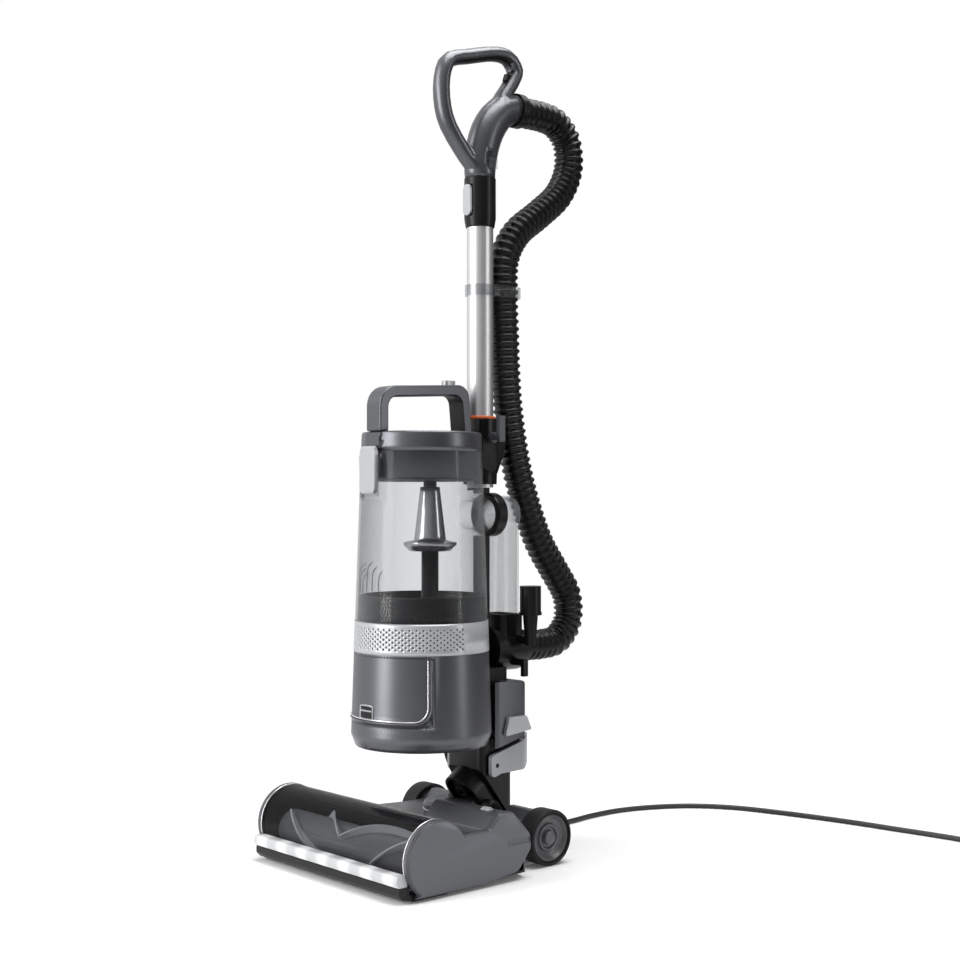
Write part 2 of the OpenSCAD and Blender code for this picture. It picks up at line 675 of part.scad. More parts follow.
module base_plate() {
  color("#5a5d62") at_can() difference() {
    union() {
      rotate_extrude($fn = 128) polygon([[0, 1.5], [72, 1.5], [74, 0], [84, 0], [can_r(14), 14],
        [can_r(23), 23], [can_r(23) - 3, 23], [can_r(14) - 3.5, 14], [81, 5], [0, 5]]);
      // tongue that rests on the stand
      linear_extrude(8) polygon(rounded([[-62, 50, 0], [-34, 84, 8], [-30, 92, 4], [-30, 122, 5],
        [30, 122, 5], [30, 92, 4], [34, 84, 8], [62, 50, 0]]));
    }
    translate([0, can_reach, -1]) linear_extrude(20) column_plan(17 + gap, -3 - gap, 11 + gap, 3);
    for (a = [30, 150, 270]) rotate(a) translate([78, 0, -1]) cylinder(r = 2, h = 3, $fn = 24);
  }
}

module motor_housing() {
  color("#5f6267") at_can() difference() {
    can_body(23, housing_h);
    translate([0, 0, -1]) can_body(23, housing_h + 2, -3);
    can_sector(120, 34, housing_h - 5, -1, 6);
    can_sector(124, 32, housing_h - 3, -1, 1.5);
  }
}

module filter_cover() {
  z1 = housing_h - 3.3;
  color("#63666b") at_can() difference() {
    union() {
      can_sector(123.4, 32.3, z1, 0, 1.2);
      // rounded bead along the edge of the panel
      for (a = [-1, 1]) rotate([0, 0, a * 59]) can_sector(1.6, 34.6, z1 - 3, -0.8, 0.6);
      can_sector(118, 35, 36.6, -0.8, 0.6);
    }
    translate([-12, -can_r0 - 4, 40]) cube([24, 4.6, 14]);
  }
}

module exhaust_band() {
  rows = 5;
  step = 5.6;
  color("#c3c6ca") at_can() difference() {
    rotate_extrude($fn = 128) polygon([[can_r(housing_h) - 2.5, housing_h],
      [can_r(housing_h) + 0.4, housing_h], [can_r(band_h) + 0.4, band_h], [24, band_h], [24, band_h - 3],
      [can_r(band_h) - 2.5, band_h - 3]]);
    for (i = [0:rows - 1], j = [-10:9]) rotate([0, 0, j * 8.4 + 2.1 + (i % 2) * 4.2])
      translate([0, 0, housing_h + 8 + i * step]) cyl_y(vent_d / 2, -can_r0 - 3, -can_r0 + 16, $fn = 16);
  }
}

module exhaust_filter() {
  r = can_r(band_h) - 2.5 - gap;
  color("#2b2c2e") at_can() rotate_extrude($fn = 96)
    polygon([[r - 9, housing_h + 0.5], [r, housing_h + 0.5], [r, band_h - 3.2], [r - 9, band_h - 3.2]]);
}

module suction_motor() {
  shroud = motor_r + 12;
  color("#3a3c3f") at_can() difference() {
    rotate_extrude($fn = 96) polygon([[0, 5.2], [motor_r, 5.2], [motor_r, 66], [shroud, 70], [shroud, 92],
      [20, 92], [20, 89], [shroud - 3, 89], [shroud - 3, 72.5], [0, 72.5]]);
    translate([0, 0, 20]) cylinder(r = 4 + run_gap, h = 60);
  }
}

module impeller() {
  r = motor_r + 6;
  color("#a4a7ab") at_can() {
    translate([0, 0, 20.2]) cylinder(r = 4, h = 55);
    translate([0, 0, 74]) cylinder(r = r, h = 2);
    cone_h = 10;
    translate([0, 0, 76]) cylinder(r1 = 12, r2 = 5, h = cone_h);
    for (a = [0:45:315]) rotate(a) translate([11, -1, 75.9]) rotate([0, 0, 22]) cube([r - 18, 2, 9]);
  }
}

module bin_shell() {
  spigot_y = ring_y - 0.4;
  color("#c9d3da", 0.35) at_can() difference() {
    union() {
      can_body(seal_h, bin_h);
      intersection() {
        translate([0, 0, ring_z]) cyl_y(inlet_r, 60, spigot_y);
        translate([-50, 0, 200]) cube([100, 200, 200]);
      }
      // pocket of the front latch
      along_x(-19, 19) polygon(rounded([[-70, 306, 0], [-can_r(312) - 5, 310, 4], [-can_r(312) - 6, 366, 3],
        [-70, 368, 0]]));
    }
    translate([0, 0, -1]) can_body(seal_h, bin_h + 2, -wall);
    translate([0, 0, ring_z]) cyl_y(inlet_r - wall, 50, spigot_y + 1);
    translate([-15.5, -can_r(312) - 20, 313]) cube([31, 18.2, 60]);
  }
  // pin that the front latch turns on
  color("#c9d3da") at_can() translate([0, -can_r(312) - 4.5, latch_h]) cyl_x(1.1, -17, 17, $fn = 24);
}

module bin_floor() {
  r = can_r(seal_h) - wall - gap;
  color("#17181a") at_can() union() {
    rotate_extrude($fn = 128) polygon([[0, seal_h + 0.3], [r, seal_h + 0.3], [r - 1, seal_h + 31],
      [r - 4.5, seal_h + 32], [r - 4.5, seal_h + 15], [60, seal_h + 6], [0, seal_h + 6]]);
    translate([0, cone_y, seal_h + 5]) cylinder(r = post_r, h = 244 - gap - seal_h - 5);
    for (a = [20:40:340]) rotate(a) translate([58, -1, seal_h + 5]) cube([r - 62, 2, 16]);
  }
}

module bin_lid() {
  r = can_r(lid_h);
  color("#5f6267") at_can() difference() {
    union() {
      rotate_extrude($fn = 128) polygon([[0, lid_h - 9], [r - 8, lid_h - 9], [r - 6, lid_h - 1], [r - 3, lid_h],
        [r - 1, lid_h - 0.4], [r, lid_h - 3], [can_r(bin_h + gap), bin_h + gap], [skirt_r, bin_h + gap],
        [skirt_r, 338], [skirt_r - 8, 333], [skirt_r - 10, 335], [skirt_r - 2, 340], [skirt_r - 2, lid_h - 12],
        [0, lid_h - 12]]);
      // funnel that holds the pre-motor filter
      rotate_extrude($fn = 96) polygon([[skirt_r - 9, 334], [skirt_r - 10, 336], [30, 347], [8, 347], [8, 344],
        [29, 344]]);
      translate([0, cone_y, 326.2]) cylinder(r = 8.5, h = lid_h - 12 - 326);
      translate([-carry_w / 2, 58, lid_h - 10]) cube([carry_w, 12, 10]);
      along_x(-13, 13) polygon([[-r + 8, lid_h - 2], [-r + 8, bin_h + 2],
        [-r - 3, bin_h + 4], [-r - 3, lid_h - 2]]);
    }
    translate([-14, -r - 10, bin_h - 10]) cube([28, 7.4, 17.2]);
  }
}

module cyclone_cone() {
  t = 1.8;
  color("#b4b8bd") at_cone() rotate_extrude($fn = 96) polygon([[22, 244], [26, 244], [flange_r, 252],
    [flange_r, 255], [20.5, 258], [cone_top_r, 326], [0, 326], [0, 326 - t], [cone_top_r - t, 326 - t],
    [20.5 - t, 257], [22, 250]]);
}

module carry_handle() {
  r = can_r(lid_h);
  h = carry_h - lid_h;
  color("#63666b") at_can() difference() {
    along_x(-carry_w / 2, carry_w / 2) difference() {
      polygon(rounded([[-r - 1.5, lid_h, 0], [-r - 1.5, carry_h - h / 8, 0.4 * h], [68, carry_h, 0.28 * h],
        [74, lid_h - 0.5, 0]]));
      polygon(rounded([[-r + 12, lid_h - 1, 0], [-r + 12, carry_h - 0.33 * h, 0.22 * h],
        [56, carry_h - 0.22 * h, 0.19 * h], [61, lid_h - 1, 0]]));
    }
    // rear leg stands on the lid's dished top
    can_body(lid_h - 40, lid_h, 20);
    translate([0, 45, carry_h - 0.11 * h]) linear_extrude(20) column_plan(5.5 + gap, -9 - gap, 9 + gap, 4);
  }
}

module bin_button() {
  color("#d5d8db") at_can() translate([0, 45, carry_h - 0.047 * (carry_h - lid_h)]) linear_extrude(8)
    column_plan(5.5, -9, 9, 4);
}

module bin_latch() {
  y = -can_r(312) - 3.1;
  color("#dfe3e7") at_can() difference() {
    intersection() {
      along_x(-15, 15) polygon(rounded([[y, 316, 1.5], [y, 376, 0], [y - 5, 377, 3], [y - 6, 318, 3]]));
      translate([0, y + 5, 0]) rotate([90, 0, 0]) linear_extrude(20) column_plan(15, 315, 378, 10);
    }
    translate([0, -can_r(312) - 4.5, latch_h]) cyl_x(1.1 + run_gap, -20, 20, $fn = 24);
  }
}

// ---- spine, duct and wand --------------------------------------------------------------------

module spine() {
  tongue = 8.2;
  color("#1c1d1f") at_can() difference() {
    union() {
      translate([0, 0, tongue]) linear_extrude(90 - tongue) column_plan(30, 60, 123, 5);
      translate([-9, 96, 60]) cube([18, 13, 340]);
      // socket of the tube with its bracket
      translate([0, tube_y, 330]) cylinder(r1 = 22, r2 = 25, h = 86);
      along_x(-14, 14) polygon(rounded([[90, 414, 3], [127, 408, 6], [133, 392, 6], [131, 372, 10],
        [119, 346, 14], [109, 330, 4], [90, 322, 0]]));
      along_x(-24, 24) polygon(rounded([[83, 416, 3], [108, 416, 3], [108, 340, 10], [83, 352, 4]]));
    }
    // clear of the canister and of the bin's path
    can_body(0, 160, 0.2);
    translate([0, 0, 150]) cylinder(r = can_r(190) + 0.8, h = 400, $fn = 128);
    translate([0, can_reach, -1]) linear_extrude(63) column_plan(17 + gap, -3 - gap, 11 + gap, 3);
    translate([0, tube_y, 325.5]) cylinder(r = tube_r + run_gap, h = 100);
    translate([0, 0, ring_z]) cyl_y(ring_r + 0.15, 80, 130);
    translate([0, 0, elbow_z]) cyl_y(elbow_r, 109, 170);
  }
}

module duct_elbow() {
  color("#202124") at_can() difference() {
    union() {
      translate([0, 0, elbow_z]) cyl_y(elbow_r, 109.1, 160);
      translate([0, 0, elbow_z]) cyl_y(elbow_r, 160, 163, elbow_r - 3);
      translate([0, 0, elbow_z]) linear_extrude(46) column_plan(25, 118, 156, 6);
      // arm and lower cord hook on the right side
      translate([20, 140, elbow_z + 8]) cube([14, 12, 10]);
      translate([24, 132, elbow_z - 20]) cube([26, 8, 8]);
      translate([44, 132, elbow_z - 34]) cube([6, 8, 22]);
    }
    translate([0, 0, elbow_z]) cyl_y(cuff_r + 0.15, 138, 170);
    translate([0, 0, elbow_z]) linear_extrude(60) column_plan(21, 122, 152, 4);
  }
}

module clear_duct() {
  color("#c9d3da", 0.4) at_can() difference() {
    union() {
      translate([0, 0, elbow_z + 46]) linear_extrude(ring_z - elbow_z - 46) column_plan(25, 124, 150, 6);
      translate([0, 0, ring_z]) cyl_y(25, 124, 150);
    }
    translate([0, 0, elbow_z + 40]) linear_extrude(ring_z - elbow_z - 40) column_plan(22.6, 126.4, 147.6, 4);
    translate([0, 0, ring_z]) cyl_y(22.6, 126.4, 147.6);
    translate([0, 0, ring_z]) cyl_y(inlet_r - 1, 120, 130);
  }
}

module inlet_ring() {
  color("#141516") at_can() translate([0, 0, ring_z]) rotate([-90, 0, 0]) rotate_extrude($fn = 96)
    polygon(rounded([[inlet_r - 1, ring_y, 0], [ring_r - 1, ring_y, 2], [ring_r, ring_y + 3, 1],
      [ring_r, 124, 0], [inlet_r - 1, 124, 0]], 3));
}

module socket_ring() {
  color("#e2622b") at_tube() translate([0, 0, 416]) rotate_extrude()
    polygon([[tube_r + run_gap, 0], [tube_r + 3.5, 0], [tube_r + 3, 3], [tube_r + run_gap, 4]]);
}

module wand_tube() {
  color("#c8cbcf") at_tube() translate([0, 0, 325.8]) difference() {
    cylinder(r = tube_r, h = tube_h - 325.8, $fn = 96);
    translate([0, 0, -1]) cylinder(r = tube_r - 1.2, h = tube_h, $fn = 96);
  }
}

module collar() {
  z0 = collar_h - 65;
  bore = tube_r + run_gap;
  color("#1c1d1f") at_tube() difference() {
    rotate_extrude($fn = 96) polygon(rounded([[bore, z0, 0], [collar_r - 2, z0, 1.5], [collar_r, z0 + 12, 6],
      [collar_r, collar_h, 0], [tube_r - 2, collar_h, 0], [tube_r - 2, tube_h, 0], [bore, tube_h, 0]]));
    translate([-7.5, -collar_r - 1, z0 + 14]) cube([15, 3.5, 42]);
  }
}

module collar_button() {
  z0 = collar_h - 65 + 14 + gap;
  color("#cfd2d6") at_tube() translate([0, -collar_r + 0.6, z0]) rotate([90, 0, 0])
    linear_extrude(3.6) column_plan(7.5 - gap, 0, 42 - 2 * gap, 7);
}

hose_line = [[0, cuff_end, 836], [0, 192, 836], [0, 212, 836], [0, 240, 831], [0, 262, 808],
  [0, 265, 770], [0, 245, 732], [0, 206, 700], [0, 166, 670], [0, 144, 634], [0, 141, 586], [0, 143, 538],
  [0, 145, 490], [0, 149, 441], [0, 157, 392], [0, 169, 343], [0, 186, 296], [0, 208, 251], [0, 237, 212],
  [0, 261, 178], [0, 263, 142], [0, 242, 117], [0, 212, 112], [0, 192, 112], [0, cuff_end, 112]];

// Ribbed tube: crests and roots outside, a smooth bore inside, closed by a flat ring at each end
module hose() {
  n = 8;
  spans = len(hose_line) - 1;
  last = 2 * hose_ribs;
  bore = 44;
  outer = [for (i = [0:last]) let (u = spans * i / last, r = i % 2 == 1 ? hose_r : hose_root_r)
    ring_at(curve(hose_line, u), slope(hose_line, u), [1, 0, 0], r, r, n)];
  inner = [for (i = [bore:-1:0]) let (u = spans * i / bore)
    ring_at(curve(hose_line, u), slope(hose_line, u), [1, 0, 0], hose_bore_r, hose_bore_r, n)];
  rings = concat(outer, inner);
  k = len(rings);
  color("#17181a") at_can() polyhedron([for (r = rings) each r],
    [for (j = [0:k - 1], i = [0:n - 1]) each
      [[j * n + i, ((j + 1) % k) * n + i, j * n + (i + 1) % n],
       [j * n + (i + 1) % n, ((j + 1) % k) * n + i, ((j + 1) % k) * n + (i + 1) % n]]]);
}

module hose_cuffs() {
  color("#1c1d1f") at_can() {
    translate([0, 0, elbow_z]) difference() {
      union() {
        cyl_y(cuff_r, 138.2, 163.3);
        cyl_y(24, 163.2, cuff_end);
      }
      cyl_y(hose_bore_r, 130, 190);
    }
    translate([0, 0, cuff_top_h]) difference() {
      cyl_y(23, cuff_top_y + 0.2, cuff_end);
      cyl_y(hose_bore_r, 150, 190);
    }
  }
}

module hose_clip() {
  h0 = 579;
  y = 141;
  color("#c9d3da", 0.5) at_can() translate([0, 0, h0]) difference() {
    union() {
      translate([0, tube_y, 0]) cylinder(r = tube_r + 2.5, h = 14);
      translate([0, y, 0]) cylinder(r = hose_r + 3.3, h = 14);
      translate([16, tube_y, 0]) cube([7, y - tube_y, 14]);
      translate([-23, tube_y, 0]) cube([7, y - tube_y, 14]);
    }
    translate([0, tube_y, -1]) cylinder(r = tube_r + run_gap, h = 16);
    translate([0, y, -1]) cylinder(r = hose_r + 0.6, h = 16);
  }
}

neck_line = [[0, 100, 734], [0, 100, 752], [0, 104, 776], [0, 113, 800], [0, 127, 820], [0, 143, 832.5],
  [0, cuff_top_y, cuff_top_h]];
loop_line = [[0, 92, 746], [0, 72, 764], [0, 44, 797], [0, 34, 826], [0, 34, 858], [0, 45, 882],
  [0, 78, 893], [0, 122, 905], [0, 149, 905], [0, 163, 890], [0, 159, 877], [0, 149, 862], [0, 137, 846], [0, 129, 830]];

module handle_shell() {
  n = 12;
  span = len(neck_line) - 1;
  loop = len(loop_line) - 1;
  color("#5f6267") at_can() difference() {
    union() {
      skin([for (i = [0:12]) let (u = span * i / 12, t = i == 0 ? [0, 0, 1] : i == 12 ? [0, 1, 0]
            : slope(neck_line, u))
        ring_at(curve(neck_line, u), t, [1, 0, 0], 20.5, 20.5 + 3 * sin(180 * i / 12), n)], n);
      skin([for (i = [0:33]) let (u = loop * i / 33)
        ring_at(curve(loop_line, u), slope(loop_line, u), [1, 0, 0], loop_x, 10, n)], n);
    }
    translate([0, 158, 874]) rotate([-20, 0, 0]) translate([-4.5, -16, -5.5]) cube([9, 21, 11]);
    translate([19, 98, 745]) cube([10, 12, 24]);
  }
}

module handle_trigger() {
  color("#1a1b1d") at_can() translate([0, 158, 874]) rotate([-20, 0, 0]) translate([-4.2, -13.5, -5.2])
    cube([8.4, 16.5, 10.4]);
}

module regulator() {
  color("#c9d3da", 0.5) at_can() translate([19.3, 98.3, 745.3]) cube([5, 11.4, 14]);
}

module tool_post() {
  color("#1c1d1f") at_can() translate([48, 146, 0]) {
    translate([-14, -6, elbow_z + 8]) cube([14, 12, 10]);
    translate([0, 0, elbow_z + 6]) cylinder(r1 = 7, r2 = 10, h = 40);
    translate([0, 0, elbow_z + 46]) cylinder(r = 15, h = 4);
    translate([0, 0, elbow_z + 50]) cylinder(r = 14, h = 34);
  }
}

module cord_hook_upper() {
  color("#5f6267") at_can() translate([0, hook_y, hook_h]) {
    cyl_x(7, 24.4, 30);
    translate([28, -5, -4]) cube([16, 10, 8]);
    translate([40, -5, -6]) cube([6, 10, 34]);
  }
}

module cord_gland() {
  color("#17181a") at_can() translate([gland_x, gland_y, 0]) {
    translate([0, 0, 20]) cylinder(r1 = 5, r2 = 8, h = gland_h - 20);
    difference() {
      cylinder(r1 = 4.6, r2 = 6, h = 20);
      translate([0, 0, -1]) cylinder(r = cord_r + 0.1, h = 19);
    }
  }
  // bracket on the motor housing
  color("#17181a") at_can() difference() {
    translate([gland_x - 6, gland_y - 26, gland_h - 8]) cube([12, 26, 12]);
    can_body(0, 80);
    translate([gland_x, gland_y, 0]) cylinder(r = 6, h = gland_h - 7);
  }
}

// ---- mains cord ------------------------------------------------------------------------------

gland_g = [gland_x, axle_y - can_reach + gland_y, can_z];
cord_line = [gland_g + [0, 0, 17.6], gland_g + [0, 0, 2], gland_g + [0, 0, -14], gland_g + [0, 6, -38],
  gland_g + [1, 22, -66], gland_g + [3, 46, -94], gland_g + [7, 74, -119], gland_g + [11, 100, -136],
  [-42, 140, 6.5], [-36, 164, 4.1], [-27, 195, lay_z], [-28, 235, lay_z], [-34, 285, lay_z], [-32, 340, lay_z], [-14, 395, lay_z],
  [20, 445, lay_z], [70, 480, lay_z], [130, 500, lay_z], [190, 514, lay_z], [250, 525, lay_z],
  [310, 532, lay_z], [355, 538, lay_z], [400, 542, lay_z], [440, coil_y - coil_out, lay_z],
  [coil_x, coil_y - coil_out, lay_z]];

module cord_lead() {
  n = 8;
  spans = len(cord_line) - 1;
  rings = 68;
  color("#161617") skin([for (i = [0:rings]) let (u = spans * i / rings)
    ring_at(curve(cord_line, u), i == rings ? [1, 0, 0] : slope(cord_line, u), [0.86, 0.1, 0.5],
      cord_r, cord_r, n, 22.5)], n);
}

// Layer and radius of the coil after t turns: four layers that spiral in and out again
function coil_layer(t) = floor(t / coil_turns);
function coil_in(t) = let (u = t / coil_turns - coil_layer(t)) coil_layer(t) % 2 == 0 ? u : 1 - u;
function coil_climb(t) =
  let (k = round(t / coil_turns), d = t - k * coil_turns)
  k > 0 && k < 4 && abs(d) < 0.25 ? k - 0.5 + 2 * d : coil_layer(min(t, 4 * coil_turns - 0.001));
function coil_point(t) =
  let (r = coil_r + coil_turns * coil_pitch * (0.5 - coil_in(t)))
  [r * cos(360 * t - 90), r * sin(360 * t - 90), lay_z + coil_pitch * coil_climb(t)];

coil_rings = 24;                              // rings in each turn
coil_pts = [for (i = [0:4 * coil_turns * coil_rings - 1]) coil_point(i / coil_rings)];
coil_gap = min([for (i = [0:len(coil_pts) - 13], j = [i + 12:len(coil_pts) - 1])
  norm(coil_pts[i] - coil_pts[j])]) - cord_d;
echo(least_gap_of_coil_to_itself = coil_gap);

// Tail that leaves the top turn, comes down beside the coil and runs into the plug
tail_line = [coil_pts[len(coil_pts) - 1], [16, 66, 26], [44, 72, 20], [74, 76, 9.5], [100, 77, lay_z + 1],
  [126, 77, 7], [152, 77, 9]];

module cord_coil() {
  n = 6;
  last = len(coil_pts) - 1;
  tail = [for (p = tail_line) [p[0], -abs(p[1]), p[2]]];
  color("#161617") translate([coil_x, coil_y, 0])
    skin(concat(
      [for (i = [0:last]) let (p = coil_pts[i], q = coil_point((i + 0.3) / coil_rings))
        ring_at(p, i == 0 ? [1, 0, 0] : unit2(q - p), [p[0], p[1], 0], cord_r, cord_r, n, 30)],
      [for (i = [2:18]) let (u = i / 3) ring_at(curve(tail, u), i == 18 ? [1, 0, 0] : slope(tail, u),
        [curve(tail, u)[0] / 3, curve(tail, u)[1], 0], cord_r, cord_r, n, 30)]), n);
}

module mains_plug() {
  color("#161617") translate([coil_x + 151, coil_y - 77, 0]) {
    difference() {
      translate([0, 0, 9]) rotate([0, 90, 0]) cylinder(r1 = 5, r2 = 7.5, h = 26);
      translate([-1, 0, 9]) rotate([0, 90, 0]) cylinder(r = cord_r + 0.05, h = 2);
    }
    linear_extrude(24) polygon(rounded([[22, -12, 3], [48, -25, 5], [70, -25, 5], [70, 25, 5], [48, 25, 5],
      [22, 12, 3]]));
  }
  color("#c9a24a") translate([coil_x + 151, coil_y - 77, 0]) {
    translate([70, -2, 13]) cube([18, 4, 8]);
    for (y = [-11, 11]) translate([70, y - 3.2, 6]) cube([16, 6.4, 4]);
  }
}

head_base();
head_cover();
pivot_dome();
end_cap_left();
end_cap_right();
brush_window();
light_lens();
light_board();
soleplate();
brush_bearings();
drive_belt();
brush_motor();
axle();
head_slider();
brush_core();
brush_bristles();
motor_pulley();
tyre_left();
hub_left();
tyre_right();
hub_right();
yoke();
stand_column();
stand_cover();
pedal();
lift_button();
base_plate();
motor_housing();
exhaust_band();
exhaust_filter();
suction_motor();
impeller();
filter_cover();
spine();
duct_elbow();
clear_duct();
inlet_ring();
socket_ring();
wand_tube();
hose_clip();
hose();
hose_cuffs();
collar();
collar_button();
handle_shell();
handle_trigger();
regulator();
tool_post();
cord_hook_upper();
cord_gland();
bin_shell();
bin_floor();
bin_lid();
cyclone_cone();
carry_handle();
bin_button();
bin_latch();
cord_lead();
cord_coil();
mains_plug();
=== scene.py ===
import json
import math

import bmesh
import bpy
from mathutils import Matrix, Vector
from mathutils.bvhtree import BVHTree

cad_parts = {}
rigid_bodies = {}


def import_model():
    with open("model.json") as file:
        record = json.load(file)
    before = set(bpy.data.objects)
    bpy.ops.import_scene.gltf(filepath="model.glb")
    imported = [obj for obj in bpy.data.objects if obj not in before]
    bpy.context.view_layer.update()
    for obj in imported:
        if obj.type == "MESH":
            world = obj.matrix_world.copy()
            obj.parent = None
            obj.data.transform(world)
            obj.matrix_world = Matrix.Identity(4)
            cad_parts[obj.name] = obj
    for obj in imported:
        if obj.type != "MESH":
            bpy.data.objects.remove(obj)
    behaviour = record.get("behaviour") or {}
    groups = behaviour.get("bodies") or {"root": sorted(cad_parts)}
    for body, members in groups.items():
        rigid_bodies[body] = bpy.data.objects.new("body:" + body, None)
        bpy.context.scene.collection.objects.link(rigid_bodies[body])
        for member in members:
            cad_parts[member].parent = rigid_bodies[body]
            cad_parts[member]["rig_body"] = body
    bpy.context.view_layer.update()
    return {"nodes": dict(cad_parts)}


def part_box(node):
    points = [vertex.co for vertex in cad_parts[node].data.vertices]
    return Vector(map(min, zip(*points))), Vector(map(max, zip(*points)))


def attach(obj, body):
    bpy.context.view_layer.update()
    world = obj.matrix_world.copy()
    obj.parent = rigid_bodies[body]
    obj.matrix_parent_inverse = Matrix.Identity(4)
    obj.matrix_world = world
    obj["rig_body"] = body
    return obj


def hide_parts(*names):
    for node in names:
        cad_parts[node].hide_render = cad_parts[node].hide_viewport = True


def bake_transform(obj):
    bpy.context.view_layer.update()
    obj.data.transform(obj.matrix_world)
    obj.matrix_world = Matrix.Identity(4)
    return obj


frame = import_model()

# ==== Studio ====
# A pale floor that fades into a white room, a camera at the bin's height, a large lamp from the
# front left, and tall strip lamps that draw upright highlights on the shells. Glossy shells see a
# room that is white on the lamps' side and darker behind.

axle_y = sum(v.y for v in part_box("axle")) / 2
can_y = sum(v.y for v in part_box("motor_housing")) / 2
can_z = 0.150

camera_turn = math.radians(49)
camera_far = 1.95
camera_z = 0.46
camera_aim = Vector((0.039, 0.0, 0.485))

scene = bpy.context.scene
scene.view_settings.view_transform = "Standard"
camera = bpy.data.objects.new("camera", bpy.data.cameras.new("camera"))
scene.collection.objects.link(camera)
camera.data.lens = 56.0
camera.data.sensor_width = 36
camera.location = Vector((camera_far * math.sin(camera_turn), -camera_far * math.cos(camera_turn), camera_z))
camera.rotation_euler = (camera_aim - camera.location).to_track_quat("-Z", "Y").to_euler()
scene.camera = camera


def material(name):
    """A new material with its node tree, its shader and its output."""
    made = bpy.data.materials.new(name)
    made.use_nodes = True
    tree = made.node_tree
    return made, tree, tree.nodes["Principled BSDF"]


def node(tree, kind, settings=(), **values):
    """A shader node with its settings, and the values of its inputs by name."""
    made = tree.nodes.new(kind)
    for key, value in dict(settings).items():
        setattr(made, key, value)
    for key, value in values.items():
        socket(made.inputs, key.replace("_", " ")).default_value = value
    return made


def socket(sockets, name):
    """The socket of that name that is in use."""
    return next(s for s in sockets if s.name == name and s.enabled)


def join(tree, source, out, target, into):
    """Links an output to an input, both by name."""
    tree.links.new(socket(source.outputs, out), socket(target.inputs, into))


def lamp(name, place, aim, size, power):
    """A soft rectangular lamp that looks at a point."""
    data = bpy.data.lights.new(name, "AREA")
    data.shape = "RECTANGLE"
    data.size, data.size_y = size
    data.energy = power
    made = bpy.data.objects.new(name, data)
    made.location = place
    made.rotation_euler = (Vector(aim) - Vector(place)).to_track_quat("-Z", "Y").to_euler()
    scene.collection.objects.link(made)


lamp("front_lamp", (-1.3, -2.3, 2.3), (0, 0, 0.4), (1.4, 1.4), 30)
lamp("left_strip", (-0.62, -2.6, 0.8), (0, 0, 0.55), (0.95, 1.9), 46)
lamp("right_strip", (2.3, 1.3, 0.9), (0, 0, 0.5), (0.35, 1.9), 14)
lamp("top_lamp", (0.2, 0.3, 2.7), (0, 0, 0.2), (1.8, 1.8), 72)

world = bpy.data.worlds.new("room")
scene.world = world
world.use_nodes = True
tree = world.node_tree
room = tree.nodes["Background"]
room.inputs["Color"].default_value = (1, 1, 1, 1)
rays = tree.nodes.new("ShaderNodeLightPath")
place = tree.nodes.new("ShaderNodeTexCoord")
lean = node(tree, "ShaderNodeVectorMath", {"operation": "DOT_PRODUCT"})
tree.links.new(place.outputs["Generated"], lean.inputs[0])
lean.inputs[1].default_value = (-0.72, -0.60, 0.35)
side = node(tree, "ShaderNodeMapRange", From_Min=-0.6, From_Max=1.0, To_Min=0.04, To_Max=0.40)
join(tree, lean, "Value", side, "Value")
mirrored = node(tree, "ShaderNodeMapRange", From_Min=-0.6, From_Max=1.0, To_Min=0.12, To_Max=1.0)
join(tree, lean, "Value", mirrored, "Value")
gloss = node(tree, "ShaderNodeMix")
tree.links.new(rays.outputs["Is Glossy Ray"], socket(gloss.inputs, "Factor"))
join(tree, side, "Result", gloss, "A")
join(tree, mirrored, "Result", gloss, "B")
seen = node(tree, "ShaderNodeMath", {"operation": "MAXIMUM"})
tree.links.new(rays.outputs["Is Camera Ray"], seen.inputs[0])
tree.links.new(rays.outputs["Is Transmission Ray"], seen.inputs[1])
level = node(tree, "ShaderNodeMix", B=1.0)
join(tree, seen, "Value", level, "Factor")
join(tree, gloss, "Result", level, "A")
join(tree, level, "Result", room, "Strength")

floor_mesh = bmesh.new()
bmesh.ops.create_grid(floor_mesh, x_segments=1, y_segments=1, size=8)
floor = bpy.data.objects.new("floor", bpy.data.meshes.new("floor"))
floor_mesh.to_mesh(floor.data)
scene.collection.objects.link(floor)
pale, tree, shader = material("pale_floor")
shader.inputs["Base Color"].default_value = (0.90, 0.90, 0.90, 1)
shader.inputs["Roughness"].default_value = 0.75
place = tree.nodes.new("ShaderNodeTexCoord")
reach = node(tree, "ShaderNodeVectorMath", {"operation": "LENGTH"})
join(tree, place, "Object", reach, "Vector")
fade = node(tree, "ShaderNodeMapRange", {"interpolation_type": "SMOOTHSTEP"}, From_Min=0.5, From_Max=1.5)
join(tree, reach, "Value", fade, "Value")
shader.inputs["Emission Color"].default_value = (1, 1, 1, 1)
shader.inputs["Emission Strength"].default_value = 0.06
clear = tree.nodes.new("ShaderNodeBsdfTransparent")
blend = tree.nodes.new("ShaderNodeMixShader")
join(tree, fade, "Result", blend, "Fac")
tree.links.new(shader.outputs[0], blend.inputs[1])
tree.links.new(clear.outputs[0], blend.inputs[2])
tree.links.new(blend.outputs[0], tree.nodes["Material Output"].inputs["Surface"])
floor.data.materials.append(pale)

# ==== Mains cord ====
# Black rubber flex, 7 mm thick. It leaves a rubber gland at the left of the spine, drops to the
# floor, runs back and to the right, and is wound into a coil that ends in a moulded plug.

